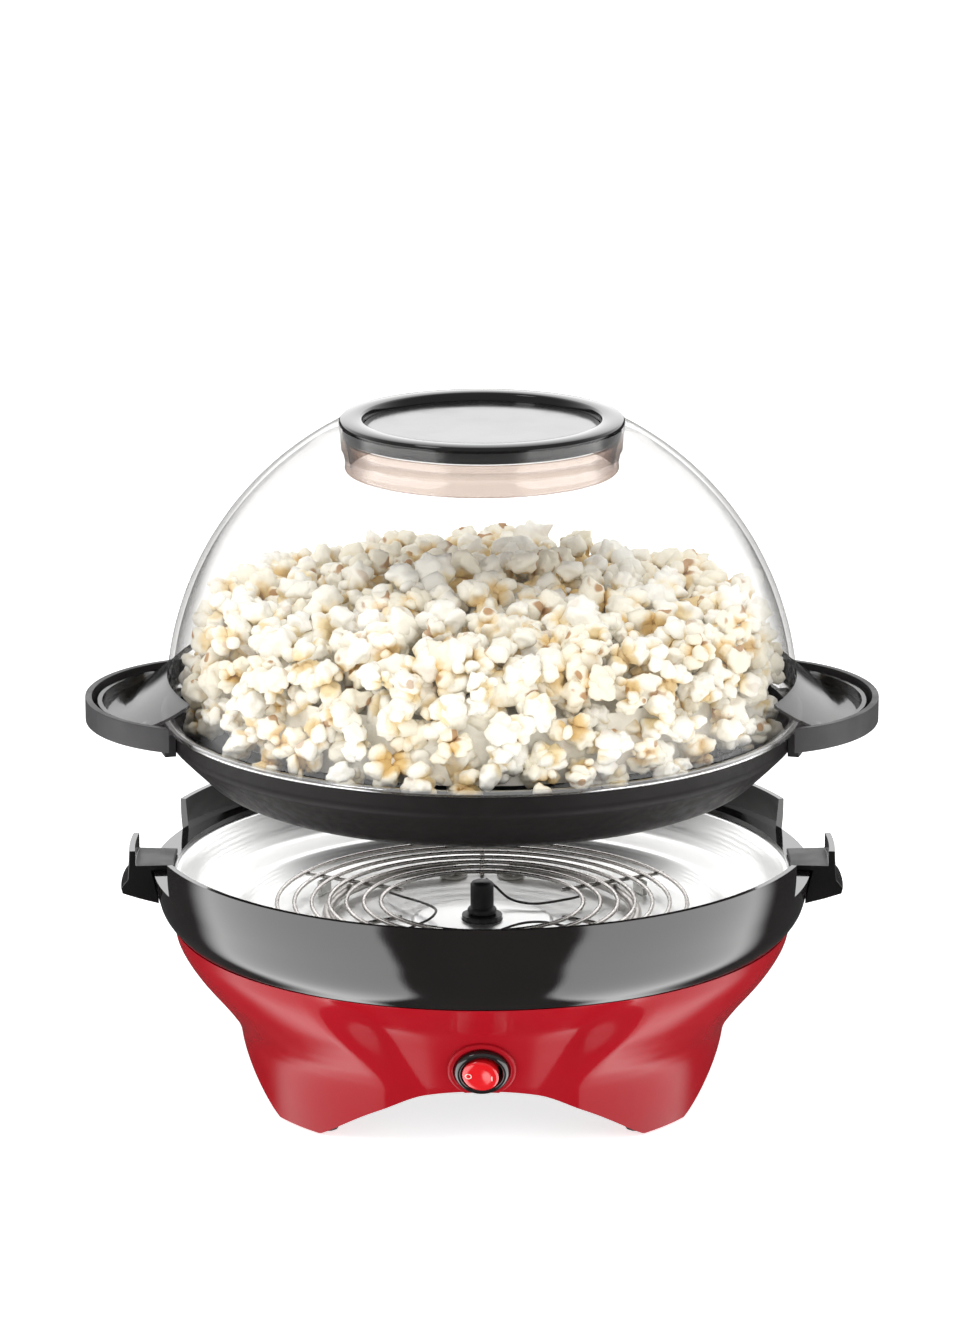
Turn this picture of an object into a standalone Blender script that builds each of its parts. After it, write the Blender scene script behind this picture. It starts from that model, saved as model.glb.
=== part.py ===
"""Popcorn maker: a heated base, a lift-off stirring pan and a clear dome.

Metres, +Z up. The origin is on the surface that the base stands on, under the
drive shaft. The front, with the switch, faces -Y and the pan handles lie along X.
At rest the pan and its dome stand LIFT above their seat on the base.
"""
import math

import bmesh
import bpy
from mathutils import Matrix, Vector

# ---------------------------------------------------------------- driving sizes
PAN_R = 0.1410          # outer radius of the pan's skirt
RIM_Z = 0.1170          # top of the black band above the table
LIFT = 0.0580           # height of the pan above its seat at rest
CAP_R = 0.0635          # outer radius of the cap on the dome's mouth
HANDLE_REACH = 0.0375   # how far each handle stands out past the pan's skirt
SHAFT_R = 0.0053        # radius of the drive shaft
SWITCH_R = 0.0120       # outer radius of the switch's bezel
FOOT_PAD_R = 0.0055     # radius of each rubber pad
GRILL_WIRE_R = 0.0010   # radius of the grill's wires
ELEMENT_R = 0.0700      # radius of the heating element's ring
GEAR_TEETH = 36         # teeth on the gear of the drive shaft
PINION_TEETH = 12       # teeth on the motor's pinion
GEAR_MODULE = 0.0010    # pitch diameter per tooth

WALL = 0.0025           # moulded plastic walls
SHEET = 0.0010          # pressed metal
GAP = 0.0003            # clearance between pieces that touch
RUN = 0.0006            # clearance round a piece that turns
SCREW_R = 0.0015        # shank radius of every screw
HEAD_R = 0.0028         # head radius of every screw
HEAD_T = 0.0022         # head height of every screw

SEGMENTS = 36           # sides of each large turned piece
MEDIUM = 18             # sides of each turned piece of the drive
SMALL = 12              # sides of each small round piece
BOX_SIDES = 28          # sides of the gearbox
HOLE = 10               # sides of each drilled hole

# ---------------------------------------------------------------- derived sizes
RIM_R = PAN_R + 0.0086                  # outer radius of the band's rim
LEDGE_Z = RIM_Z - 0.0146                # shelf inside the band
LEDGE_R = PAN_R - 0.0025                # inner edge of that shelf
SEAT_Z = LEDGE_Z + 0.0026               # top of the saddles that carry the pan
BAND_Z = RIM_Z - 0.0390                 # joint between the band and the red shell
SHELL_R = PAN_R - 0.0010                # radius of the shell at that joint
COVER_Z = BAND_Z - 0.0487               # underside of the bottom cover
COVER_T = 0.0020
COVER_EDGE = 0.0035                     # air between the bottom cover and the shell
SWITCH_ROOM = 0.0060                    # the cover stands back this far under the switch
COVER_TOP = COVER_Z + COVER_T

BOWL_Z = RIM_Z - 0.0425                 # floor of the reflector bowl
GRILL_Z = RIM_Z - 0.0330                # middle of the grill's rings
SHAFT_TOP = RIM_Z - 0.0235

PAN_Z = SEAT_Z + GAP + LIFT             # underside of the handles' feet
SKIRT_Z = PAN_Z + 0.0017                # lower edge of the pan's skirt
PAN_RIM_Z = PAN_Z + 0.0109
PAN_FLOOR_Z = SKIRT_Z - 0.0205
PAN_FLOOR_R = PAN_R - 0.0210
FLANGE_Z = PAN_RIM_Z + GAP              # underside of the dome's flange
FLANGE_R = PAN_R + 0.0035
DOME_R = PAN_R + 0.0010                 # outer radius of the clear dome
DOME_Z = FLANGE_Z + 0.0045              # centre of the dome's sphere
MOUTH_R = CAP_R - 0.0020                # radius of the collar under the cap
CAP_SEAT_Z = DOME_Z + math.sqrt(DOME_R ** 2 - CAP_R ** 2)
HANDLE_TOP = PAN_Z + 0.0187
HANDLE_Z = PAN_Z + 0.0077
TIP_X = PAN_R + HANDLE_REACH

LEG_FOOT_R = PAN_R - 0.0335             # radius of the legs at the table
PAD_RING_R = LEG_FOOT_R - WALL - FOOT_PAD_R - 0.0012  # pitch radius of the pads
SWITCH_Z = COVER_Z - 0.0003 + SWITCH_R  # height of the switch's centre
ARCH_HALF = 0.67 * LEG_FOOT_R           # half-width of the front and back arches
SIDE_ARCH_HALF = 0.567 * LEG_FOOT_R     # half-width of the side arches

LEG_ANGLES = [math.radians(45 + 90 * n) for n in range(4)]
BOSS_ANGLES = [math.radians(a) for a in (20, 160, 200, 340)]
FRONT = -math.pi / 2
NOTCH_HALF = math.radians(21)           # half-angle of each side notch in the rim
GRIP_HALF = math.radians(5.5)           # half-angle of the grip outside each notch


# ---------------------------------------------------------------- scene helpers
def clear_scene():
    for obj in list(bpy.data.objects):
        bpy.data.objects.remove(obj, do_unlink=True)


def new_collection(name):
    group = bpy.data.collections.new(name)
    bpy.context.scene.collection.children.link(group)
    return group


clear_scene()
PARTS = new_collection("popcorn_maker")
CUTTERS = new_collection("cutters")


def make_material(name, colour, roughness, metallic=0.0):
    mat = bpy.data.materials.new(name)
    mat.use_nodes = True
    shader = mat.node_tree.nodes["Principled BSDF"]
    shader.inputs["Base Color"].default_value = (*colour, 1.0)
    shader.inputs["Roughness"].default_value = roughness
    shader.inputs["Metallic"].default_value = metallic
    return mat


RED = make_material("red_gloss_plastic", (0.42, 0.010, 0.018), 0.12)
BLACK = make_material("black_gloss_plastic", (0.010, 0.009, 0.009), 0.10)
MATT = make_material("black_handle_plastic", (0.018, 0.017, 0.018), 0.40)
CLEAR = make_material("clear_plastic", (0.85, 0.84, 0.82), 0.05)
PAN_COAT = make_material("non_stick_coat", (0.020, 0.019, 0.020), 0.35, 0.3)
BRIGHT = make_material("polished_aluminium", (0.85, 0.85, 0.84), 0.12, 1.0)
STEEL = make_material("steel_wire", (0.60, 0.59, 0.57), 0.25, 1.0)
HOT = make_material("element_sheath", (0.22, 0.20, 0.19), 0.45, 0.8)
RUBBER = make_material("rubber", (0.02, 0.02, 0.02), 0.9)
NYLON = make_material("white_nylon", (0.72, 0.70, 0.64), 0.45)
CERAMIC = make_material("white_ceramic", (0.80, 0.78, 0.72), 0.50)
ROCKER_RED = make_material("rocker_red", (0.60, 0.008, 0.012), 0.15)


def add_object(name, mesh, mat=None):
    """Link a mesh as a part, or as a hidden cutter where it has no material."""
    obj = bpy.data.objects.new(name, mesh)
    if mat is None:
        CUTTERS.objects.link(obj)
        obj.hide_render = True
        obj.display_type = 'WIRE'
    else:
        PARTS.objects.link(obj)
        mesh.materials.append(mat)
    return obj


def add_bmesh(name, bm, mat=None):
    mesh = bpy.data.meshes.new(name)
    bm.to_mesh(mesh)
    bm.free()
    return add_object(name, mesh, mat)


def turned(name, outline, mat=None, sides=SEGMENTS, at=(0, 0, 0), closed=True):
    """Turn an outline of (radius, height) about Z, down its outer side first."""
    mesh = bpy.data.meshes.new(name)
    verts = [(r, 0, z) for r, z in outline]
    edges = [(n, n + 1) for n in range(len(verts) - 1)]
    if closed:
        edges.append((len(verts) - 1, 0))
    mesh.from_pydata(verts, edges, [])
    obj = add_object(name, mesh, mat)
    obj.location = at
    screw = obj.modifiers.new("turn", 'SCREW')
    screw.steps = sides
    screw.render_steps = sides
    screw.use_merge_vertices = True
    screw.merge_threshold = 0.00001
    return obj


def disc(name, radius, low, high, mat=None, sides=SMALL, at=(0, 0)):
    """A plain round plug from height low to height high."""
    outline = [(0, high), (radius, high), (radius, low), (0, low)]
    return turned(name, outline, mat, sides, (at[0], at[1], 0), closed=False)


def ring(name, inner, outer, low, high, mat=None, sides=SMALL, at=(0, 0)):
    """A washer or a tube with square ends."""
    outline = [(outer, high), (outer, low), (inner, low), (inner, high)]
    return turned(name, outline, mat, sides, (at[0], at[1], 0))


def block(name, low, high, mat=None):
    bm = bmesh.new()
    bmesh.ops.create_cube(bm, size=1)
    low, high = Vector(low), Vector(high)
    size = high - low
    bmesh.ops.scale(bm, vec=size, verts=bm.verts)
    bmesh.ops.translate(bm, vec=(low + high) / 2, verts=bm.verts)
    return add_bmesh(name, bm, mat)


def prism(name, outline, low, high, mat=None):
    """Raise a flat outline of (x, y) from height low to height high."""
    bm = bmesh.new()
    face = bm.faces.new([bm.verts.new((x, y, low)) for x, y in outline])
    raised = bmesh.ops.extrude_face_region(bm, geom=[face])
    top = [v for v in raised["geom"] if isinstance(v, bmesh.types.BMVert)]
    bmesh.ops.translate(bm, vec=(0, 0, high - low), verts=top)
    bmesh.ops.recalc_face_normals(bm, faces=bm.faces)
    return add_bmesh(name, bm, mat)


def swept_block(name, outline, middle, half, steps, mat=None):
    """Sweep a closed (radius, height) outline through middle - half to middle + half."""
    bm = bmesh.new()
    face = bm.faces.new([bm.verts.new((r, 0, z)) for r, z in outline])
    bmesh.ops.rotate(bm, cent=(0, 0, 0), matrix=Matrix.Rotation(middle - half, 3, 'Z'),
                     verts=bm.verts)
    bmesh.ops.spin(bm, geom=[face, *face.edges, *face.verts], cent=(0, 0, 0), axis=(0, 0, 1),
                   angle=2 * half, steps=steps)
    bmesh.ops.recalc_face_normals(bm, faces=bm.faces)
    return add_bmesh(name, bm, mat)


def tube(name, points, radius, mat, cyclic=False, resolution=2):
    """A wire or rod along points, made a closed mesh so that it can be joined."""
    curve = bpy.data.curves.new(name, 'CURVE')
    curve.dimensions = '3D'
    curve.bevel_depth = radius
    curve.bevel_resolution = resolution
    curve.use_fill_caps = not cyclic
    spline = curve.splines.new('POLY')
    spline.points.add(len(points) - 1)
    for point, place in zip(spline.points, points):
        point.co = (*place, 1)
    spline.use_cyclic_u = cyclic
    guide = bpy.data.objects.new(name + "_guide", curve)
    bpy.context.scene.collection.objects.link(guide)
    bpy.context.view_layer.update()
    solid = guide.evaluated_get(bpy.context.evaluated_depsgraph_get())
    mesh = bpy.data.meshes.new_from_object(solid)
    bpy.data.objects.remove(guide, do_unlink=True)
    bm = bmesh.new()
    bm.from_mesh(mesh)
    bmesh.ops.remove_doubles(bm, verts=bm.verts, dist=0.00001)
    bm.to_mesh(mesh)
    bm.free()
    mesh.materials.clear()
    return add_object(name, mesh, mat)


def combine(target, tool, operation):
    step = target.modifiers.new(operation.lower(), 'BOOLEAN')
    step.object = tool
    step.operation = operation
    step.solver = 'EXACT'


def cut(target, *tools):
    for tool in tools:
        combine(target, tool, 'DIFFERENCE')


def fuse(target, *tools):
    for tool in tools:
        combine(target, tool, 'UNION')


def drill(target, places, radius, low, high):
    """Cut one upright round hole at each (x, y) of places."""
    sides = HOLE if radius < 0.0030 else MEDIUM
    for n, place in enumerate(places):
        cut(target, disc(f"{target.name}_hole_{n}", radius, low, high, sides=sides, at=place))


def polar(radius, angle):
    return (radius * math.cos(angle), radius * math.sin(angle))


def screw(name, place, seat, shank):
    """A pan-head screw: its head sits under seat and its shank runs up past it."""
    x, y = place
    outline = [(0, seat + shank), (SCREW_R, seat + shank), (SCREW_R, seat),
               (HEAD_R, seat), (HEAD_R, seat - HEAD_T), (0, seat - HEAD_T)]
    return turned(name, outline, STEEL, 10, (x, y, 0), closed=False)


# ---------------------------------------------------------------- the base's shell
LOBE = [(0.0, 0.0), (0.007, 0.0015), (0.014, 0.0050), (0.022, 0.0105), (0.031, 0.0180),
        (0.038, 0.0235), (0.045, 0.0280), (0.054, 0.0305)]  # drop below band, inset


def lobe_radius(z):
    """Radius of the shell's full lobes at height z: a bowl that becomes the legs."""
    drop = max(0.0, BAND_Z - z)
    for (d0, r0), (d1, r1) in zip(LOBE, LOBE[1:]):
        if drop <= d1:
            return SHELL_R - r0 - (r1 - r0) * (drop - d0) / (d1 - d0)
    last_drop, last_inset = LOBE[-1]
    share = min(1.0, (drop - last_drop) / (BAND_Z - last_drop))
    return SHELL_R - last_inset + share * (LEG_FOOT_R - SHELL_R + last_inset)


APRON_LOW_Z = COVER_Z + 0.0007          # where the front apron meets its arch
APRON_LOW_R = PAN_R - 0.0360
KNEE_DROP = 0.0178                      # below this the apron is straight and steeper
KNEE_INSET = 0.0225


def apron_radius(z):
    """Radius of the two cones that the front apron follows."""
    drop = BAND_Z - z
    if drop < KNEE_DROP:
        return SHELL_R - KNEE_INSET * drop / KNEE_DROP
    share = (drop - KNEE_DROP) / (BAND_Z - APRON_LOW_Z - KNEE_DROP)
    return SHELL_R - KNEE_INSET - share * (SHELL_R - KNEE_INSET - APRON_LOW_R)


APRON_TOP_HALF = math.radians(30)       # the apron narrows downwards like a V
APRON_LOW_HALF = math.radians(19)
CREASE = math.radians(5)                # width of the crease beside the apron


def apron_share(theta, z):
    """1 on the front apron, 0 on the lobes, blended over the crease."""
    share = max(0.0, min(1.0, (BAND_Z - z) / (BAND_Z - APRON_LOW_Z)))
    half = APRON_TOP_HALF + share * (APRON_LOW_HALF - APRON_TOP_HALF)
    off = abs((theta - FRONT + math.pi) % (2 * math.pi) - math.pi)
    return max(0.0, min(1.0, (half - off) / CREASE + 0.5))


def shell_radius(theta, z):
    lobe = lobe_radius(z)
    depth = max(0.0, lobe - apron_radius(z)) * min(1.0, max(0.0, z / APRON_LOW_Z))
    return lobe - depth * apron_share(theta, z)


def switch_frame():
    """Place of the switch: Z out of the apron, Y up its slope, X to the right."""
    lean = apron_radius(SWITCH_Z + 0.001) - apron_radius(SWITCH_Z - 0.001)
    slope = Vector((0, -lean, 0.002)).normalized()
    right = Vector((1, 0, 0))
    out = right.cross(slope)
    place = Vector((0, -apron_radius(SWITCH_Z), SWITCH_Z))
    frame = Matrix((right, slope, out)).transposed().to_4x4()
    return Matrix.Translation(place) @ frame


SWITCH = switch_frame()


def arch_cutter(name, half_width, height, power, turn, reach):
    """A tunnel under the shell with a soft top, cut along turn."""
    count = 16
    outline = [(half_width, -0.01)]
    for n in range(count + 1):
        u = 1 - 2 * n / count
        outline.append((half_width * u, height * (1 - abs(u) ** power)))
    outline.append((-half_width, -0.01))
    tool = prism(name, outline, 0.02, reach)
    tool.matrix_world = Matrix.Rotation(turn, 4, 'Z') @ Matrix.Rotation(math.pi / 2, 4, 'X')
    return tool


def switch_tool(name, outline, mat=None, sides=20, closed=True):
    """A turned piece that stands on the apron, about the switch's own axis."""
    obj = turned(name, outline, mat, sides, closed=closed)
    obj.matrix_world = SWITCH
    return obj


def lower_shell():
    rows = 8
    top = BAND_Z + 0.0020
    bm = bmesh.new()
    heights = [top - (top - 0.0008) * n / rows for n in range(rows + 1)]
    chain = [bm.verts.new((lobe_radius(z), 0, z)) for z in heights]
    for a, b in zip(chain, chain[1:]):
        bm.edges.new((a, b))
    bmesh.ops.spin(bm, geom=[*bm.verts, *bm.edges], cent=(0, 0, 0), axis=(0, 0, 1),
                   angle=2 * math.pi, steps=SEGMENTS, use_merge=True)
    for v in bm.verts:
        theta = math.atan2(v.co.y, v.co.x)
        v.co.x, v.co.y = polar(shell_radius(theta, v.co.z), theta)
    bmesh.ops.recalc_face_normals(bm, faces=bm.faces)
    face = bm.faces[:][0]
    if face.normal.dot(Vector((face.calc_center_median().x, face.calc_center_median().y, 0))) < 0:
        bmesh.ops.reverse_faces(bm, faces=bm.faces)
    shell = add_bmesh("lower_shell", bm, RED)
    skin = shell.modifiers.new("wall", 'SOLIDIFY')
    skin.thickness = WALL
    skin.offset = -1
    cut(shell, disc("top_trim", SHELL_R + 0.02, BAND_Z - GAP, BAND_Z + 0.02, sides=SEGMENTS))
    fuse(shell, switch_tool("switch_boss", [(SWITCH_R + 0.0030, 0.0012), (SWITCH_R + 0.0030, -0.004),
                                            (SWITCH_R + GAP, -0.004), (SWITCH_R + GAP, 0.0012)]))
    cut(shell, switch_tool("switch_hole", [(0, 0.01), (SWITCH_R - 0.0017, 0.01),
                                           (SWITCH_R - 0.0017, -0.012), (0, -0.012)],
                           closed=False))
    reach = SHELL_R + 0.02
    low = APRON_LOW_Z - 0.0010
    cut(shell, arch_cutter("front_arch", ARCH_HALF, low, 2.2, 0, reach))
    cut(shell, arch_cutter("back_arch", ARCH_HALF, low, 2.2, math.pi, reach))
    cut(shell, arch_cutter("right_arch", SIDE_ARCH_HALF, low - 0.002, 1.6, math.pi / 2, reach))
    cut(shell, arch_cutter("left_arch", SIDE_ARCH_HALF, low - 0.002, 1.6, -math.pi / 2, reach))
    cut(shell, inlet_cutter())
    for n, angle in enumerate(LEG_ANGLES, 1):
        post = disc(f"leg_post_{n}", FOOT_PAD_R + 0.0024, PAD_T + GAP, COVER_Z - 0.0070,
                    at=polar(PAD_RING_R, angle))
        fuse(shell, post)
    for n, angle in enumerate(BOSS_ANGLES, 1):
        boss = ring(f"cover_boss_{n}", SCREW_R + GAP, BOSS_R, COVER_TOP + GAP, COVER_TOP + 0.014,
                    at=polar(BOSS_RING_R, angle))
        fuse(shell, boss)
    return shell


PAD_T = 0.0022
BOSS_RING_R = lobe_radius(COVER_Z - HEAD_T) - WALL - HEAD_R - 3 * GAP
BOSS_R = lobe_radius(COVER_TOP) - WALL - BOSS_RING_R + 0.0012
INLET_Z = BAND_Z - 0.0220
INLET_R = 0.0070


def inlet_frame():
    return Matrix.Translation((0, 0, INLET_Z)) @ Matrix.Rotation(-math.pi / 2, 4, 'X')


def inlet_cutter():
    tool = turned("inlet_hole", [(0, SHELL_R + 0.02), (INLET_R + GAP, SHELL_R + 0.02),
                                 (INLET_R + GAP, 0.100), (0, 0.100)], None, closed=False,
                  sides=SMALL)
    tool.matrix_world = inlet_frame()
    return tool


def cord_inlet():
    """A rubber grommet with a flange on each side of the rear wall."""
    wall = lobe_radius(INLET_Z)
    lean = 0.0095
    outline = [(INLET_R - 0.0004, wall + 0.0080), (INLET_R - 0.0004, wall - WALL - lean),
               (0.0035, wall - WALL - lean), (0.0035, wall + 0.0080)]
    grommet = turned("cord_inlet", outline, RUBBER, SMALL)
    grommet.matrix_world = inlet_frame()


# ---------------------------------------------------------------- the black band
BAND_OUTER = [(0.0, 0.0), (0.0002, 0.009), (0.0014, 0.019), (0.0041, 0.031)]


def band_outline():
    """The band in section: wall, spigot into the shell, and shelf for the bowl."""
    outer = [(RIM_R - inset, RIM_Z - drop) for inset, drop in BAND_OUTER]
    outer.append((SHELL_R, BAND_Z + GAP))
    spigot_r = lobe_radius(BAND_Z - 0.006) - WALL - 2 * GAP
    inner = [(SHELL_R - WALL - 2 * GAP, BAND_Z + GAP), (spigot_r - 0.0010, BAND_Z - 0.006),
             (spigot_r - 0.0030, BAND_Z - 0.006), (SHELL_R - 2 * WALL, BAND_Z + GAP)]
    shelf_low = LEDGE_Z - WALL
    wall_in = RIM_R - BAND_OUTER[2][0] - WALL
    inner += [(RIM_R - BAND_OUTER[3][0] - WALL, RIM_Z - BAND_OUTER[3][1]),
              (wall_in, shelf_low), (LEDGE_R, shelf_low), (LEDGE_R, LEDGE_Z),
              (wall_in, LEDGE_Z), (RIM_R - WALL, RIM_Z)]
    return outer + inner


def notch_cutter(name, middle):
    outline = [(RIM_R + 0.01, RIM_Z + 0.01), (RIM_R + 0.01, LEDGE_Z), (LEDGE_R - 0.004, LEDGE_Z),
               (LEDGE_R - 0.004, RIM_Z + 0.01)]
    return swept_block(name, outline, middle, NOTCH_HALF, 6)


def upper_ring():
    band = turned("upper_ring", band_outline(), BLACK)
    cut(band, notch_cutter("right_notch", 0), notch_cutter("left_notch", math.pi))
    relief = [(SHELL_R + 0.01, BAND_Z), (SHELL_R + 0.01, BAND_Z - 0.02),
              (SHELL_R - 0.02, BAND_Z - 0.02), (SHELL_R - 0.02, BAND_Z)]
    cut(band, swept_block("spigot_relief", relief, FRONT, APRON_TOP_HALF + CREASE, 6))
    drill(band, bowl_screw_places(), SCREW_R + GAP, LEDGE_Z - WALL - 0.001, LEDGE_Z - 0.0008)


def side_grip(name, middle):
    """A grip outside each notch, with a saddle that reaches over the band's wall."""
    saddle = LEDGE_Z + GAP
    tip = RIM_R + 0.0141
    outline = [(RIM_R + 0.0101, RIM_Z - 0.0050), (RIM_R + 0.0110, RIM_Z - 0.0185),
               (tip, RIM_Z - 0.0222), (tip - 0.0006, RIM_Z - 0.0248),
               (RIM_R - 0.0030, RIM_Z - 0.0300), (RIM_R - 0.0008, RIM_Z - 0.0190),
               (RIM_R + GAP, saddle - 0.0004), (RIM_R + GAP, saddle), (LEDGE_R + 0.001, saddle),
               (LEDGE_R + 0.001, SEAT_Z), (RIM_R + 0.0074, SEAT_Z),
               (RIM_R + 0.0074, RIM_Z - 0.0050)]
    return swept_block(name, outline, middle, GRIP_HALF, 4, BLACK)


# ---------------------------------------------------------------- bowl, element, grill
BOWL_FLANGE_R = LEDGE_R + 0.0055
BOWL_FLANGE_TOP = LEDGE_Z - WALL - GAP
HUB_HOLE_R = SHAFT_R + 0.0042


def bowl_screw_places():
    return [polar(LEDGE_R + 0.0028, math.radians(30 + 60 * n)) for n in range(6) if n % 3 != 1]


def reflector_bowl():
    """A pressed dish: flange, curved wall, one shoulder and a flat floor."""
    top = [(BOWL_FLANGE_R, BOWL_FLANGE_TOP), (LEDGE_R - 0.0010, BOWL_FLANGE_TOP),
           (LEDGE_R - 0.0035, BOWL_FLANGE_TOP - 0.0030), (LEDGE_R - 0.0100, BOWL_Z + 0.0130),
           (LEDGE_R - 0.0150, BOWL_Z + 0.0105), (LEDGE_R - 0.0260, BOWL_Z + 0.0088),
           (LEDGE_R - 0.0295, BOWL_Z + 0.0055), (LEDGE_R - 0.0380, BOWL_Z),
           (HUB_HOLE_R, BOWL_Z)]
    under = [(r, z - SHEET) for r, z in top]
    bowl = turned("reflector_bowl", [top[0], *under, *reversed(top[1:])], BRIGHT)
    drill(bowl, bowl_screw_places(), SCREW_R + GAP, BOWL_FLANGE_TOP - 0.004, LEDGE_Z + 0.001)
    drill(bowl, terminal_places(), TERMINAL_R + GAP, BOWL_Z - 0.004, BOWL_Z + 0.003)


def heat_shield():
    """A pressed ring under the bowl's wall that keeps its heat off the plastic."""
    flange = BOWL_FLANGE_TOP - SHEET - GAP
    top = [(BOWL_FLANGE_R, flange), (LEDGE_R, flange), (LEDGE_R - 0.0045, flange - 0.0070),
           (LEDGE_R - 0.0140, BOWL_Z + 0.0060), (LEDGE_R - 0.0340, BOWL_Z - 0.0050)]
    under = [(r, z - SHEET) for r, z in top]
    shield = turned("heat_shield", [top[0], *under, *reversed(top[1:])], STEEL)
    drill(shield, bowl_screw_places(), SCREW_R + GAP, flange - 0.004, flange + 0.002)


TERMINAL_R = 0.0047
ELEMENT_WIRE_R = 0.0026
ELEMENT_Z = GRILL_Z - 2.2 * GRILL_WIRE_R - GAP - ELEMENT_WIRE_R
TERMINAL_HALF = math.radians(11)


def terminal_places():
    return [polar(ELEMENT_R, FRONT + math.pi + side * TERMINAL_HALF) for side in (-1, 1)]


def heating_element():
    """One sheathed ring whose two ends turn down through the bowl's floor."""
    start = FRONT + math.pi + TERMINAL_HALF
    sweep = 2 * math.pi - 2 * TERMINAL_HALF
    count = 30
    points = []
    for n in range(count + 1):
        angle = start + sweep * n / count
        points.append((*polar(ELEMENT_R, angle), ELEMENT_Z))
    first, last = points[0], points[-1]
    drop = BOWL_Z - 0.0110
    points = [(first[0], first[1], drop), *points, (last[0], last[1], drop)]
    tube("heating_element", points, ELEMENT_WIRE_R, HOT)


def element_terminals():
    for n, place in enumerate(terminal_places(), 1):
        bore = ELEMENT_WIRE_R + 2 * GAP
        outline = [(TERMINAL_R, BOWL_Z - SHEET - 0.0045), (bore, BOWL_Z - SHEET - 0.0045),
                   (bore, BOWL_Z + GAP + 0.0009), (TERMINAL_R + 0.0018, BOWL_Z + GAP + 0.0009),
                   (TERMINAL_R + 0.0018, BOWL_Z + GAP), (TERMINAL_R, BOWL_Z + GAP)]
        turned(f"element_terminal_{n}", outline, CERAMIC, SMALL, (*place, 0))


GRILL_OUT_R = PAN_R - 0.0477
GRILL_IN_R = PAN_R - 0.0950
GRILL_RINGS = 7
BAR_ANGLES = [math.radians(30 + 60 * n) for n in range(6)]


def wire_ring(name, radius, z, wire, mat=None):
    bm = bmesh.new()
    circle = bmesh.ops.create_circle(bm, segments=5, radius=wire)
    bmesh.ops.rotate(bm, matrix=Matrix.Rotation(math.pi / 2, 3, 'X'), verts=circle["verts"])
    bmesh.ops.translate(bm, vec=(radius, 0, z), verts=circle["verts"])
    bmesh.ops.spin(bm, geom=[*bm.verts, *bm.edges], cent=(0, 0, 0), axis=(0, 0, 1),
                   angle=2 * math.pi, steps=26, use_merge=True)
    bmesh.ops.recalc_face_normals(bm, faces=bm.faces)
    return add_bmesh(name, bm, mat)


def wire_grill():
    """Seven concentric wires welded onto six radial bars that stand on the bowl."""
    step = (GRILL_OUT_R - GRILL_IN_R) / (GRILL_RINGS - 1)
    grill = wire_ring("wire_grill", GRILL_OUT_R, GRILL_Z, GRILL_WIRE_R, STEEL)
    bar_z = GRILL_Z - 1.2 * GRILL_WIRE_R
    for n, angle in enumerate(BAR_ANGLES):
        route = [(*polar(GRILL_IN_R - 0.004, angle), bar_z),
                 (*polar(GRILL_OUT_R + 0.0035, angle), bar_z)]
        bar = tube(f"grill_bar_{n}", route, GRILL_WIRE_R, None, resolution=1)
        fuse(grill, bar)
    for n in range(1, GRILL_RINGS):
        fuse(grill, wire_ring(f"grill_ring_{n}", GRILL_OUT_R - n * step, GRILL_Z, GRILL_WIRE_R))


def grill_clips():
    """Three bent tabs on the bowl's floor that hold the grill's outer ring."""
    for n, angle in enumerate(BAR_ANGLES[::2], 1):
        radius = GRILL_OUT_R - 0.0090
        x, y = polar(radius, angle)
        low = BOWL_Z + GAP
        high = GRILL_Z - 2.2 * GRILL_WIRE_R - GAP
        clip = block(f"grill_clip_{n}", (-0.0010, -0.0045, low), (0.0010, 0.0045, high), STEEL)
        clip.matrix_world = Matrix.Translation((x, y, 0)) @ Matrix.Rotation(angle, 4, 'Z')


# ---------------------------------------------------------------- drive
GEAR_R = GEAR_MODULE * GEAR_TEETH / 2
PINION_R = GEAR_MODULE * PINION_TEETH / 2
PINION_X = GEAR_R + PINION_R
HOUSING_X = PINION_X / 4
HOUSING_R = PINION_X + PINION_R - HOUSING_X + 0.0050
LID_Z = COVER_TOP + 0.0207
LID_T = 0.0020
GEAR_LOW = LID_Z + LID_T + 0.0030
GEAR_HIGH = GEAR_LOW + 0.0060
HOUSING_TOP = GEAR_HIGH + 0.0050
MOTOR_R = 0.0155


def gear_outline(teeth, pitch_r, turn):
    """A spur gear's outline: straight-sided teeth with plenty of backlash."""
    points = []
    for n in range(teeth):
        middle = turn + 2 * math.pi * n / teeth
        pitch = 2 * math.pi / teeth
        for share, radius in ((-0.36, pitch_r - 1.15 * GEAR_MODULE),
                              (-0.12, pitch_r + 0.80 * GEAR_MODULE),
                              (0.12, pitch_r + 0.80 * GEAR_MODULE),
                              (0.36, pitch_r - 1.15 * GEAR_MODULE)):
            points.append(polar(radius, middle + share * pitch))
    return points


def drive_shaft():
    """The upright spindle: journal below, collar on the bowl, drive end on top."""
    foot = LID_Z - 0.0030
    collar = BOWL_Z + 0.0040
    outline = [(0, SHAFT_TOP), (SHAFT_R - 0.0008, SHAFT_TOP), (SHAFT_R, SHAFT_TOP - 0.0008),
               (SHAFT_R, collar + 0.0025), (SHAFT_R + 0.0013, collar + 0.0015),
               (SHAFT_R + 0.0013, collar), (SHAFT_R, collar), (SHAFT_R, GEAR_HIGH + 0.0008),
               (0.0030, GEAR_HIGH + 0.0008), (0.0030, foot), (0, foot)]
    turned("drive_shaft", outline, MATT, MEDIUM, closed=False)


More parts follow.
